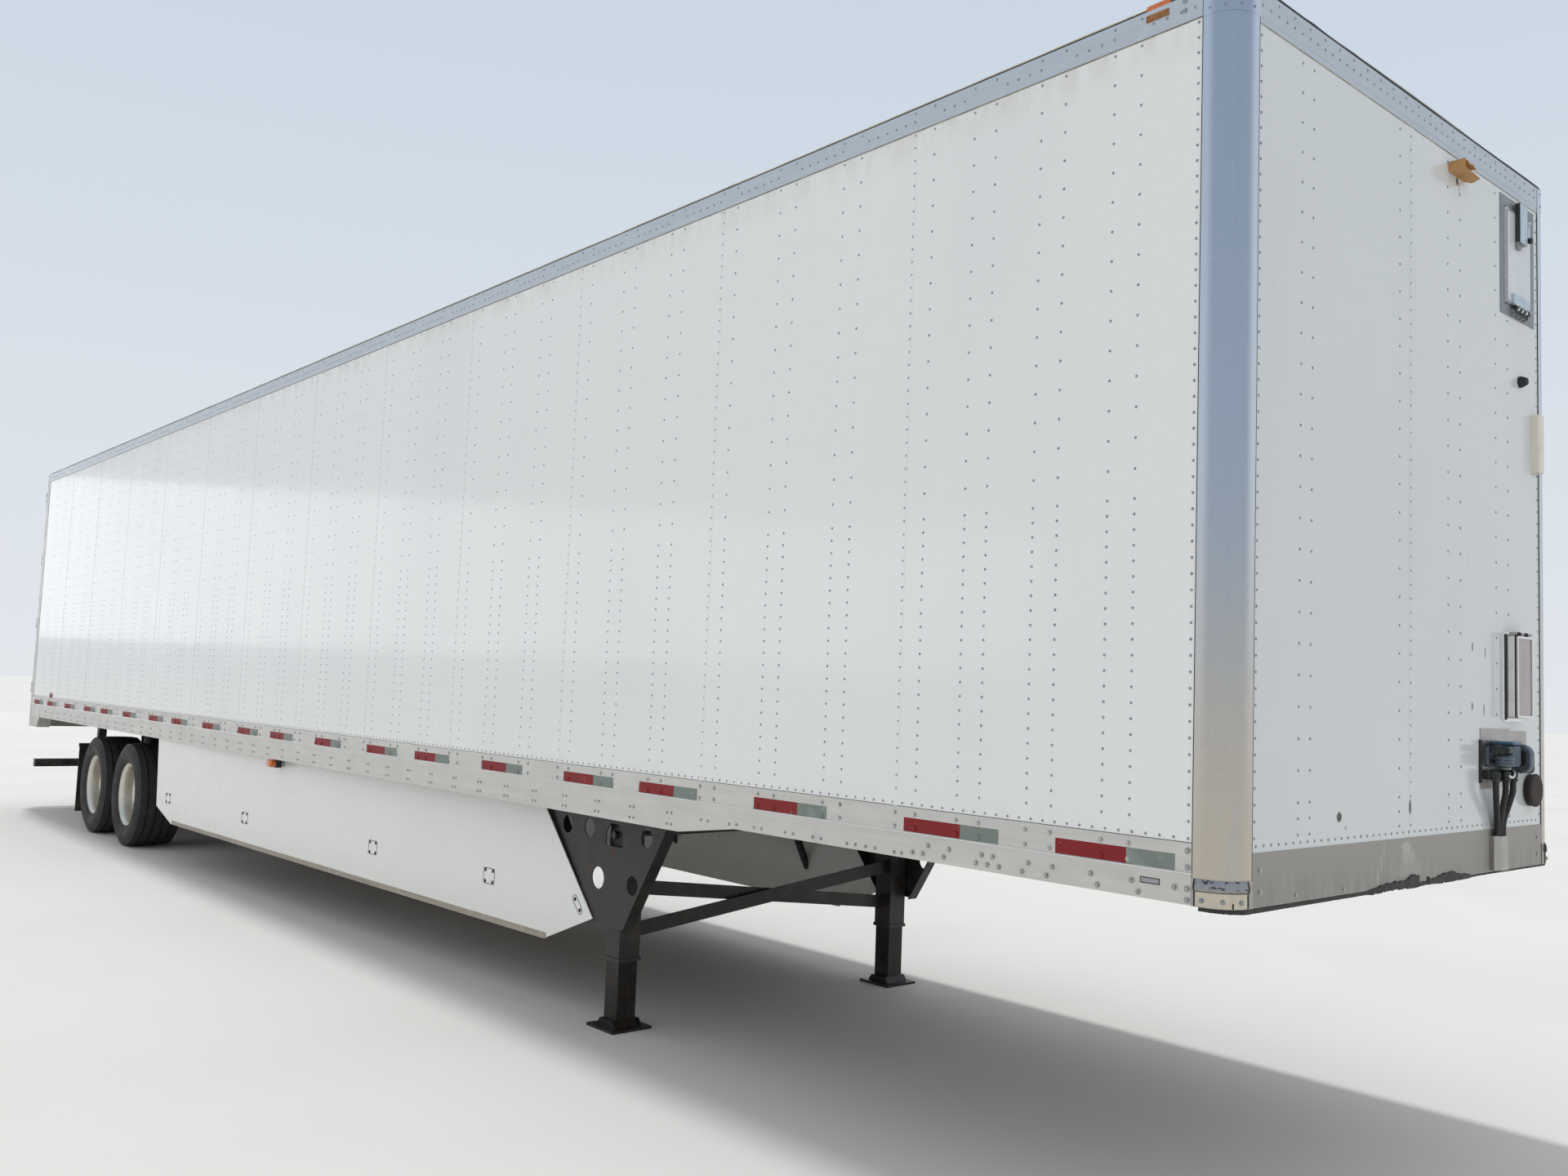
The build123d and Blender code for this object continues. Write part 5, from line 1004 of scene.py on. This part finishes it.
skirtFixings = {
    # the skirt's outer face: out = 1275 - (X + 2783) / 7103 * 185
    "rearX": -2783, "rearOut": 1275, "length": 7103, "drawnIn": 185,
    "groups": ((-2406, 580), (-557, 584), (1734, 611), (3256, 619)),    # middle of each four: X, height
    "halfWide": 42, "halfHigh": 32, "endPair": ((4154, 613), (4202, 562)),
    # thin frames: width, height, corner radius, width of the line
    "frame": (128, 92, 16, 4), "endFrame": (116, 44, 20, 4), "endMiddle": (4178, 588), "endTilt": math.atan2(-51, 48),
    "proud": 1.2, "bolt": ((11, 0), (10, 2.6), (6, 4.4), (0, 4.8)),
    # hem: from X to X, then its section as out and height
    "hemEnds": (-2268, 3889), "hem": ((0, 396), (1.6, 395), (2.2, 379.5), (1.6, 364), (0, 363), (-3, 364), (-3, 395)),
}


def onSkirt(x, out, z, side):
    spec = skirtFixings
    face = spec["rearOut"] - (np.asarray(x, float) - spec["rearX"]) / spec["length"] * spec["drawnIn"]
    return byAxis("y", side * (face + out), x, z)


# A thin frame round a rounded rectangle: four rows of points, outer foot, outer edge, inner edge, inner foot.
def frameRing(middle, wide, high, corner, line, side, tilt=0.0):
    a = np.arange(40) * 2 * math.pi / 40 + 0.0785       # half a step on, so that no point lies on a middle line
    cosine, sine, proud = math.cos(tilt), math.sin(tilt), skirtFixings["proud"]
    rows = []
    for inset, out in ((0, 0), (0.5, proud), (line - 0.5, proud), (line, 0)):
        u = np.sign(np.cos(a)) * (wide / 2 - corner) + (corner - inset) * np.cos(a)
        v = np.sign(np.sin(a)) * (high / 2 - corner) + (corner - inset) * np.sin(a)
        rows.append(onSkirt(middle[0] + u * cosine - v * sine, out, middle[1] + u * sine + v * cosine, side))
    return np.array(rows).reshape(-1, 3), [gridFaces(4, 40, closeRows=True, closeColumns=True)]


looks = skirtFixings
fours = np.array([(x + i * looks["halfWide"], z + k * looks["halfHigh"]) for x, z in looks["groups"]
                  for i in (-1, 1) for k in (-1, 1)] + list(looks["endPair"]), float)
for sideName, side in bothSides:
    rings = [frameRing(middle, *looks["frame"], side) for middle in looks["groups"]]
    rings.append(frameRing(looks["endMiddle"], *looks["endFrame"], side, looks["endTilt"]))
    bolts = heads(onSkirt(fours[:, 0], 0, fours[:, 1], side), (0, side, 0), looks["bolt"], 10)
    makePiece("skirt_bolts_" + sideName, [bolts] + rings, "blackOxideBolt", weld=True)
    hem = [onSkirt(np.linspace(*looks["hemEnds"], 60), out, z, side) for out, z in looks["hem"]]
    makePiece("skirt_hem_" + sideName, [joinedSections(np.stack(hem, 1))], "dustyHemVinyl", weld=True)
print("skirt fixings made")


# Small trim of the sides and the nose: blank plate, reflector, joint lines at the corner posts, beads

sideTrim = {
    # low and high corners, from the nose
    "plate": ((-315, 1197), (-243, 1217)), "plates": ((0.8, 0), (1.4, 3)),    # proud, drawn in
    "reflector": ((-343, 4030), (-258, 4053)), "ribs": 17, "ribProud": 4.0, "ribDeep": 1.4, "ribBevel": 1.2,
    "postEdge": (7947.5, 1166), "jointWide": 3, "jointHigh": (1152, 4068), "jointBack": 1, "jointProud": 0.3,
    # beads: low, high, how far out
    "bright": (1243, 1249, 2.6), "joint": (1338.6, 1341, 0.9), "underTop": (3975.5, 3980.2, 1.9),
    "underHeader": (3955.5, 3960.2, 1.9), "beadPlane": 1294.2, "beadEnds": (-7955, 7944), "headerEnds": (-1164, 1164),
    "header": ("x", 8071, 8073.4, (-1166, 3959), (1166, 3981), 0.5),
}


# A ribbed face on a plate: standing out by base + depth * |sin| along its length, closed at the back.
def ribbedPlate(spec, side):
    (x0, z0), (x1, z1) = spec["reflector"]
    u = np.linspace(noseX + x0, noseX + x1, spec["ribs"] * 6 + 1)
    tall = spec["ribProud"] + spec["ribDeep"] * np.abs(np.sin(np.linspace(0, spec["ribs"] * math.pi, len(u))))
    out = np.stack([tall * 0.4, tall, tall, tall * 0.4, tall * 0, tall * 0], -1)
    out[0, :4], out[-1, :4] = 0.4 * spec["ribProud"], 0.4 * spec["ribProud"]
    up = np.array([z0, z0 + spec["ribBevel"], z1 - spec["ribBevel"], z1, z1, z0])
    return joinedSections(byAxis("y", side * (railPlane + out), u[:, None], up[None]))


# A bead with a round face along X (or along Y on the nose): low, high and how far it stands out.
def beadPart(spec, plane, ends, side=1, axis="y"):
    low, high, out = spec
    bevel, shoulder = 0.15 * (high - low), 0.7 * out
    section = np.array([(0, low), (shoulder, low + bevel), (out, (low + high) / 2), (shoulder, high - bevel),
                        (0, high)])
    return joinedSections(byAxis(axis, plane + side * section[:, 0][None], np.linspace(*ends, 120)[:, None],
                                 section[:, 1][None]))


looks = sideTrim
(x0, z0), (x1, z1) = looks["plate"]
(postX, postY), (low, high), wide = looks["postEdge"], looks["jointHigh"], looks["jointWide"]
for sideName, side in bothSides:
    rail = side * railPlane
    plates = [platePart("y", rail, side * (railPlane + proud), (noseX + x0 + inset, z0 + inset),
                        (noseX + x1 - inset, z1 - inset), 0.3) for proud, inset in looks["plates"]]
    makePiece("amber_reflector_" + sideName, [ribbedPlate(looks, side)], "amberReflector", weld=True, sharp=50)
    makePiece("blank_plate_rim_" + sideName, plates[:1], "blackSealant")
    makePiece("blank_plate_" + sideName, plates[1:], "rivetAluminium")
    makePiece("post_joints_" + sideName,
              [platePart("y", side * (sidePlane - looks["jointBack"]), side * (railPlane + looks["jointProud"]),
                         (postX - wide, low), (postX, high), 0.2),
               platePart("x", nosePlane - looks["jointBack"], noseRailPlane + looks["jointProud"],
                         (side * postY - wide / 2, low), (side * postY + wide / 2, high), 0.2)], "blackSealant")
for sideName, side in bothSides:
    for name, key, plane, finish in (("rail_bead_", "bright", looks["beadPlane"], "brightBead"),
                                     ("panel_joint_", "joint", sidePlane, "blackSealant"),
                                     ("top_rail_seal_", "underTop", sidePlane, "tanSealant")):
        makePiece(name + sideName, [beadPart(looks[key], side * plane, looks["beadEnds"], side)], finish, weld=True)
makePiece("header_lip", [platePart(*looks["header"])], "noseRailAluminium")
makePiece("header_seal", [beadPart(looks["underHeader"], nosePlane, looks["headerEnds"], 1, "x")], "tanSealant",
          weld=True)
print("side trim made")


# Vent: hinge plate, rubber collars, latch case and its black knob

ventLooks = {
    # turned profiles as (place along, radius), heads as (radius, height). Rows of blocks: axis, low, high,
    # corner radius, back, face, ease. Rows of plates: axis, back, face, low, high, ease.
    "collar": ((-10.5, 0.01), (-10.5, 8.6), (-9, 10.2), (-7, 10.6), (7, 10.6), (9, 10.2), (10.5, 8.6), (10.5, 0.01)),
    "collars": (879, 921, 963, 1005), "pin": (8089, 3470), "webHeight": 3451,       # Y; X and height of the pin
    "cap": ((9, 0), (8.6, 1.2), (6, 1.9), (0, 2.1)),
    "hingePlate": ("x", (868, 3487), (1016, 3532), 8, 8081, 8088.5, 1.5),
    "hingeDots": ((905, 3511), (942, 3511), (979, 3511)), "dot": ((4.5, 0), (4, 1.4), (2, 2.2), (0, 2.4)),
    # gasket of the leaf: outer and inner outline as low, high, corner radius
    "gasket": (((811, 3487), (1075, 3887), 24), ((817, 3493), (1069, 3881), 18)), "gasketPlanes": (8080.5, 8082.6),
    "case": ("x", (900, 3755), (975, 3928), 7, 8081, 8103.6, 3),
    "eye": ((-4, 0.01), (-4, 8), (0, 9.5), (4, 8), (4, 0.01)), "eyeCentre": (8097, 993, 3858),
    "rod": ((-36, 0.01), (-36, 6.2), (36, 6.2), (36, 0.01)), "rodCentre": (8097, 993, 3820),
    "shade": ("y", 900, 898.2, (8082.5, 3758), (8101, 3923), 0.5),
    "spool": ((0, 0.01), (0, 11), (2, 13.2), (11, 13.2), (13, 9), (18, 9), (20, 13.2), (30, 13.2), (33, 11),
              (33.5, 0.01)),
    "knobCentre": (8082.5, 993, 3782),
}
looks = ventLooks
makePiece("vent_hinge_collars", [turned(looks["collar"], (looks["pin"][0], y, looks["pin"][1]), angles=20)
                                 for y in looks["collars"]], "mouldedRubber", weld=True)
makePiece("vent_web_caps", [heads(onNose([(y, looks["webHeight"]) for y in looks["collars"]], looks["pin"][0]),
                                  (1, 0, 0), looks["cap"], 16)], "mouldedRubber")
makePiece("vent_hinge_plate", [block(*looks["hingePlate"]),
                               heads(onNose(looks["hingeDots"], looks["hingePlate"][5]), (1, 0, 0), looks["dot"], 10)],
          "satinZinc", "vent_door", weld=True)
makePiece("vent_leaf_gasket", [ringPart(*looks["gasketPlanes"], *[roundedOutline(*row) for row in looks["gasket"]])],
          "filmedAluminium", "vent_door", weld=True)
makePiece("vent_latch_case", [block(*looks["case"]), turned(looks["eye"], looks["eyeCentre"], "z", 20),
                              turned(looks["rod"], looks["rodCentre"], "z", 16)], "satinZinc", "vent_door", weld=True)
# a thin dark plate on the latch case's -Y side, where the case lies in shade: painted shade
makePiece("vent_latch_side", [platePart(*looks["shade"])], "oliveCasting", "vent_door")
makePiece("vent_latch_knob", [turned(looks["spool"], looks["knobCentre"], "x", 24)], "mouldedRubber", "vent_door",
          weld=True)
print("vent fittings made")


# Couplings on the nose: air coupling with its seal down, power socket, air coupling with its seal to the side

couplings = {
    # turned profiles as (place along, radius); centres and the lever's points as X, Y, height
    "cup": ((-30, 0.01), (-30, 30), (-27, 36), (-19, 38), (-16, 33), (-6, 33), (-3, 38), (6, 38), (11, 31), (17, 20),
            (19, 0.01)),
    "cupSeal": ((-34, 0.01), (-34, 20), (-29, 24), (-29, 0.01)), "cupCentre": (8132, 618, 1597),
    "port": ((1504, 0.01), (1504, 15), (1508, 17.5), (1520, 17.5), (1521, 15), (1524, 15), (1525, 19), (1544, 19),
             (1547, 15), (1551, 12), (1551, 0.01)),
    "ports": ((582, 6), (678, 16), (752, 6)), "portX": 8116,        # Y and how many sides
    "portArm": ((-13, 1518), (13, 1546), 5, 8074, 8116, 2),         # a block's row, Y counted from the port
    "bumper": ((0, 0.01), (0, 64), (2, 66), (7, 66), (9, 60), (15, 57), (17, 64), (20, 68), (28, 68), (31, 64),
               (32, 50), (30, 20), (29, 0.01)), "bumperCentre": (8072, 1042, 1462),
    "lever": ((8128, 716, 1556), (8140, 700, 1534), (8138, 684, 1524), (8130, 668, 1530)),
    "slot": ("x", 8072, 8079, (533, 1500), (550, 1668), 0.8),
    "wing": ("x", (836, 1600), (1010, 1704), 4, 8071, 8073.6, 0.5),
}
# rounded blocks of each piece: axis, low, high, corner radius, back, face, ease, and steps of a corner
couplingBlocks = {
    "air_coupling_left": (("x", (592, 1563), (644, 1641), 8, 8074, 8086, 2),
                          ("x", (602, 1590), (634, 1626), 8, 8080, 8132, 2)),
    "coupling_jaws": (("x", (582, 1600), (652, 1650), 20, 8106, 8122, 4),
                      ("y", (8096, 1618), (8164, 1646), 13, 588, 648, 5),
                      ("x", (588, 1572), (678, 1604), 15, 8122, 8150, 6)),
    "power_socket": (("x", (666, 1571), (750, 1662), 9, 8074, 8126, 4),
                     ("x", (663, 1566), (755, 1650), 12, 8126, 8146, 5),
                     ("z", (8080, 662), (8150, 756), 8, 1652, 1664, 4)),
    "air_coupling_right": (("y", (8082, 1537), (8166, 1653), 41, 835, 801, 5, 9),
                           ("x", (792, 1563), (844, 1641), 8, 8074, 8086, 2)),
    "coupling_seals": (("y", (8110, 1566), (8148, 1630), 18, 802, 799, 1.5, 9),
                       ("y", (8110, 1566), (8148, 1630), 18, 834, 842, 3, 9),
                       ("x", (904, 1534), (950, 1606), 18, 8104, 8128, 7),
                       ("x", (832, 1566), (918, 1586), 8, 8108, 8120, 3)),
    "hose_ports": (("x", (560, 1514), (774, 1549), 6, 8074, 8102, 3),),
}
looks = couplings
blocks = {name: [block(*row) for row in rows] for name, rows in couplingBlocks.items()}
left = makePiece("air_coupling_left", [turned(looks["cup"], looks["cupCentre"], "z", 32)] + blocks["air_coupling_left"],
                 "paintedCasting", weld=True)
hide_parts("nose_couplings")
blocks["coupling_seals"].insert(2, turned(looks["cupSeal"], looks["cupCentre"], "z", 24))
(armLow, armLowZ), (armHigh, armHighZ), *arm = looks["portArm"]
ports = []
for y, corners in looks["ports"]:
    ports += [turned(looks["port"], (looks["portX"], y, 0), "z", corners),
              block("x", (y + armLow, armLowZ), (y + armHigh, armHighZ), *arm)]
blocks["hose_ports"] = ports + blocks["hose_ports"]
for name, finish in (("coupling_jaws", "oliveCasting"), ("power_socket", "blueCasting"),
                     ("air_coupling_right", "paintedCasting"), ("coupling_seals", "mouldedRubber"),
                     ("hose_ports", "oliveCasting")):
    makePiece(name, blocks[name], finish, weld=True)
makePiece("coupling_lever", [carried(smoothLine(looks["lever"], 16), circleOutline(5, 8), (0, 0.3, 1))],
          "brightBead", weld=True)
makePiece("nose_plate_wing", [block(*looks["wing"])], "stainlessSheet", weld=True)
# a black strip along the plate's edge stands for the shade in the gap beside it: painted shade
makePiece("nose_plate_slot", [platePart(*looks["slot"])], "blackSealant")
makePiece("rubber_bumper", [turned(looks["bumper"], looks["bumperCentre"], "x", 48)], "agedRubber", weld=True)
print("couplings made")


# Document box: flange, bright lid rim and dark lugs

boxLooks = {
    "flange": ("x", (776, 1742), (964, 2106), 8, 8071, 8076, 1.5),
    "edge": ("y", 791, 788.6, (8074, 1760), (8110, 2088), 0.6),
    "rim": (((791, 1759), (949, 2090), 6), ((800, 1768), (940, 2081), 6)), "rimPlanes": (8120, 8123.4),
    "lug": ((-11, 0.01), (-11, 7), (-8, 9), (8, 9), (11, 7), (11, 0.01)),
    "lugs": ((8119, 812, 2097), (8119, 884, 2097)),
    "gasket": ("x", 8072, 8083, (779, 1750), (787.5, 2096), 0.8),
}
looks = boxLooks
makePiece("box_flange", [block(*looks["flange"]), platePart(*looks["edge"])], "brightBead", weld=True)
makePiece("box_lid_rim", [ringPart(*looks["rimPlanes"], *[roundedOutline(*row) for row in looks["rim"]])],
          "brightBead", "document_lid", weld=True)
makePiece("box_latches", [turned(looks["lug"], centre, "y", 16) for centre in looks["lugs"]], "mouldedRubber",
          weld=True)
makePiece("box_gasket", [platePart(*looks["gasket"])], "blackSealant")
print("document box dressed")


# Rear: door seals, hinge bolts, lamp lenses, tape on the doors and the guard

rearLooks = {
    # leaf: low and high corner as Y and height
    "back": -8077, "leaf": ((5, 1297), (1232.5, 3950)), "sealWide": 4, "sealDepth": (-8074.5, -8062),
    "hingeLevels": (1450, 2230, 3010, 3790), "hingeBolts": (1062, 1112, 1162), "hingeFace": -8085,
    "tailLamps": (985, 1130), "tailHeight": 1125, "tailRadius": 55,
    "markers": (-1215, -150, 0, 150, 1215), "markerHeight": 4015, "markerRadius": 32, "lampFace": -8087,
    # place out, share of the lens's radius
    "lens": ((0, 0.01), (0, 0.97), (1.2, 0.94), (2.4, 0.8), (2.0, 0.72), (3.0, 0.62), (2.6, 0.54), (3.4, 0.4),
             (3.6, 0.01)),
    "grommet": ((5, 1), (5, 6), (1, 8), (-8, 8), (-8, 1)),      # place back, how far past the lens's radius
    # tape: from, to, low, high
    "guardTape": (-1145, 1146, 502, 552), "doorTape": (300, 1217, 1322, 1372), "tapeThick": 0.8,
}
looks = rearLooks
seal, sealTables = ringPart(*looks["sealDepth"], boxOutline(*looks["leaf"], looks["sealWide"]),
                            boxOutline(*looks["leaf"]))
hingePlaces = onNose([(y, z) for z in looks["hingeLevels"] for y in looks["hingeBolts"]], looks["hingeFace"])
for sideName, side in bothSides:
    body = "door_" + sideName
    makePiece("door_seal_" + sideName, [(seal * [1, side, 1], sealTables)], "mouldedRubber", body, weld=True)
    makePiece("hinge_bolts_" + sideName, [heads(hingePlaces * [1, side, 1], (-1, 0, 0), boltShape, 8)],
              "platedBolt", body)

lamps = [((looks["lampFace"], s * y, looks["tailHeight"]), looks["tailRadius"]) for y in looks["tailLamps"]
         for s in (1, -1)]
lamps += [((looks["lampFace"], y, looks["markerHeight"]), looks["markerRadius"]) for y in looks["markers"]]
makePiece("rear_lamp_lenses", [turned([(out, share * radius) for out, share in looks["lens"]], centre, "x", 28, -1)
                               for centre, radius in lamps], "redAcrylic", weld=True)
makePiece("rear_lamp_grommets", [turned([(out - 2, radius + past) for out, past in looks["grommet"]], centre, "x", 28,
                                        -1, closeProfile=True) for centre, radius in lamps], "mouldedRubber", weld=True)


# Red and silver lengths in turn from one edge to the other, on a face square to X.
def rearTape(start, end, low, high):
    face, step = looks["back"], tape["red"] + tape["silver"]
    parts, y = {"red": [], "silver": []}, start
    while y + step <= end + 1:
        for colour, y0, y1 in (("red", y, y + tape["red"]), ("silver", y + tape["red"], y + step)):
            parts[colour].append(platePart("x", face, face - looks["tapeThick"], (y0, low), (y1, high), 0.3))
        y += step
    return parts


for colour, parts in rearTape(*looks["guardTape"]).items():
    makePiece("guard_tape_" + colour, parts, colour + "ReflectiveTape")
for sideName, side in bothSides:
    for colour, parts in rearTape(*looks["doorTape"]).items():
        placed = [(points * [1, side, 1], [table[:, ::side] for table in tables]) for points, tables in parts]
        makePiece("door_tape_" + colour + "_" + sideName, placed, colour + "ReflectiveTape", "door_" + sideName)
print("rear dressed")


# Bogie: brake chambers with their hoses, and U-bolts that hold the axles to the trailing arms

bogieLooks = {
    "axles": (-3784, -5029), "axleHeight": 500, "boltRows": (540, 600), "boltTop": 752, "boltReach": 72,
    "boltRadius": 8, "chamberY": 330, "chamberZ": 528, "chamberFrom": 96,
    "chamber": ((-14, 0.01), (-14, 30), (-4, 34), (0, 70), (5, 76), (70, 79), (76, 85), (86, 85), (92, 79), (150, 78),
                (166, 66), (172, 0.01)),
    # lug that holds a chamber: low and high corner as Y from the chamber's middle and height
    "lug": (-26, 480, 26, 590), "lugFrom": 40, "lugCorner": 10, "lugShort": 2, "lugEase": 3,
    # hose: place back from the chamber's start, Y, height
    "hose": ((150, 330, 596), (190, 330, 660), (210, 345, 800), (150, 470, 960), (40, 520, 1062)), "hoseRadius": 9,
    # back, face, low, high, ease
    "scuffBand": (1251.5, 1248.5, (-7950, 1288), (7990, 1592), 1),
}
looks = bogieLooks
chambers, hoses, bolts = [], [], []
a = np.linspace(math.pi, 0, 15)
lowY, lowZ, highY, highZ = looks["lug"]
for x in looks["axles"]:
    for side in (1, -1):
        y, start = side * looks["chamberY"], x + looks["chamberFrom"]
        chambers += [turned(looks["chamber"], (start, y, looks["chamberZ"]), "x", 28),
                     block("x", (y + lowY, lowZ), (y + highY, highZ), looks["lugCorner"], x + looks["lugFrom"],
                           start - looks["lugShort"], looks["lugEase"])]
        line = np.array(looks["hose"]) * [1, side, 1] + [start, 0, 0]
        hoses.append(carried(smoothLine(line, 40), circleOutline(looks["hoseRadius"], 10), (0, side, 0.2)))
        for across in looks["boltRows"]:
            bend = byAxis("y", side * across, x - looks["boltReach"] * np.cos(a),
                          looks["axleHeight"] - looks["boltReach"] * np.sin(a))
            tops = [(end[0], side * across, looks["boltTop"]) for end in (bend[0], bend[-1])]
            bolts.append(carried([tops[0], *bend, tops[1]], circleOutline(looks["boltRadius"], 8), (0, 1, 0)))
makePiece("brake_chambers", chambers, "blackChassisPaint", weld=True)
makePiece("brake_hoses", hoses, "mouldedRubber", weld=True)
makePiece("axle_bolts", bolts, "platedBolt", weld=True)
back, face, *corners = looks["scuffBand"]       # along the foot of the inside walls
for sideName, side in bothSides:
    makePiece("scuff_band_" + sideName, [platePart("y", side * back, side * face, *corners)], "stainlessSheet",
              weld=True)
print("bogie and inside dressed")


# Side lamps on brackets under the rails, and the landing gear wings' rear edges

sideLamp = {
    # low, high, corner radius, then how far out the back and the face stand, and the ease
    "lamp": ((74, 1034), (170, 1088), 20, 1262, 1308, 12), "bracket": ((68, 1030), (176, 1100), 10, 1222, 1264, 3),
    "wingEdge": ((3735, 1149), (3803, 1149), (4326, 520), (4262, 520)), "wingReach": (1066, 1076),
}
for sideName, side in bothSides:
    for name, key, finish in (("side_lamp_", "lamp", "amberAcrylic"),
                              ("side_lamp_bracket_", "bracket", "mouldedRubber")):
        low, high, corner, back, face, ease = sideLamp[key]
        makePiece(name + sideName, [block("y", low, high, corner, side * back, side * face, ease)], finish, weld=True)
    makePiece("wing_rear_edge_" + sideName,
              [easedPrism("y", sideLamp["wingEdge"], *[side * y for y in sideLamp["wingReach"]], 1)],
              "blackChassisPaint", weld=True)
print("side lamps made")


# Floor, backdrop, lamps, camera

stage = {"floor": "#CFCECA", "background": "#E2E7EC", "high": "#BCCDE0", "skyLight": "#F4F7FB", "reach": 160.0,
         "sky": 0.94, "sun": 1.7, "sunSpread": 5, "softbox": 400}


def makeFloor():
    line = np.linspace(-stage["reach"], stage["reach"], 9)
    x, y = np.meshgrid(line, line, indexing="ij")
    mesh = bpy.data.meshes.new("floor_plane")
    mesh.from_pydata(byAxis("z", 0.0, x, y).reshape(-1, 3).tolist(), [], gridFaces(9, 9)[:, ::-1].tolist())
    mesh.update()
    floor = bpy.data.objects.new("floor_plane", mesh)
    bpy.context.scene.collection.objects.link(floor)
    mesh.materials.append(makeFinish("paleFloor", stage["floor"], rough=0.9, ior=1.3,
                                     layers=(layer(3000, 0.4, 0.7, 0.3, "#C3C2BD"),)))


# The sky lights the scene, and what the camera and reflections see of it is a plain backdrop.
def makeWorld():
    world = bpy.data.worlds.new("pale_studio")
    bpy.context.scene.world = world
    world.use_nodes = True
    tree = world.node_tree
    tree.nodes.clear()
    ray = addNode(tree, "ShaderNodeLightPath").outputs
    seen = addNode(tree, "ShaderNodeMath", {0: ray["Is Camera Ray"], 1: ray["Is Glossy Ray"]}, operation="MAXIMUM")
    seen = addNode(tree, "ShaderNodeMath", {0: seen.outputs[0], 1: ray["Is Transmission Ray"]}, operation="MAXIMUM")
    height = addNode(tree, "ShaderNodeSeparateXYZ",
                     {"Vector": addNode(tree, "ShaderNodeTexCoord").outputs["Generated"]}).outputs["Z"]
    rise = addNode(tree, "ShaderNodeMapRange", {"Value": height, "From Min": 0.0, "From Max": 0.75,
                                                "To Min": 0.0, "To Max": 1.0}).outputs["Result"]
    tone = addNode(tree, "ShaderNodeMix", {0: rise, 6: linearOf(stage["background"]), 7: linearOf(stage["high"])},
                   data_type="RGBA").outputs[2]
    light = addNode(tree, "ShaderNodeBackground", {"Color": linearOf(stage["skyLight"]), "Strength": stage["sky"]})
    shown = addNode(tree, "ShaderNodeBackground", {"Color": tone, "Strength": 1.0})
    mixed = addNode(tree, "ShaderNodeMixShader", {0: seen.outputs[0], 1: light.outputs[0], 2: shown.outputs[0]})
    addNode(tree, "ShaderNodeOutputWorld", {"Surface": mixed.outputs[0]})


def addLamp(name, kind, energy, place, target, **settings):
    lamp = bpy.data.lights.new(name, kind)
    lamp.energy = energy
    for key, value in settings.items():
        setattr(lamp, key, value)
    holder = bpy.data.objects.new(name, lamp)
    holder.location = place
    holder.rotation_euler = (Vector(target) - Vector(place)).to_track_quat("-Z", "Y").to_euler()
    bpy.context.scene.collection.objects.link(holder)


# Camera fitted to the photograph: turned by yaw, then pitch, then roll.
def makeCamera():
    view = {"place": (10.1962, -4.9277, 1.7649), "yaw": 139.204, "pitch": -4.393, "roll": -2.141, "lens": 30.16}
    turn = (Matrix.Rotation(math.radians(view["yaw"]), 3, "Z") @ Matrix.Rotation(math.radians(view["pitch"]), 3, "Y")
            @ Matrix.Rotation(math.radians(view["roll"]), 3, "X"))
    forward, left, up = turn.col[0], turn.col[1], turn.col[2]
    lens = bpy.data.cameras.new("photo_camera")
    lens.lens = view["lens"]
    lens.sensor_width = 36
    lens.clip_end = 500
    camera = bpy.data.objects.new("photo_camera", lens)
    camera.matrix_world = Matrix.Translation(view["place"]) @ Matrix((-left, up, -forward)).transposed().to_4x4()
    bpy.context.scene.collection.objects.link(camera)
    bpy.context.scene.camera = camera


makeFloor()
makeWorld()
addLamp("high_sun", "SUN", stage["sun"], (-5, 0.6, 14), (0, 0, 0), angle=math.radians(stage["sunSpread"]))
addLamp("kerb_softbox", "AREA", stage["softbox"], (-30, -16, 5), (-4, -1, 2.6), shape="RECTANGLE", size=44, size_y=5)
makeCamera()
bpy.context.scene.view_settings.view_transform = "Standard"
print("stage set")
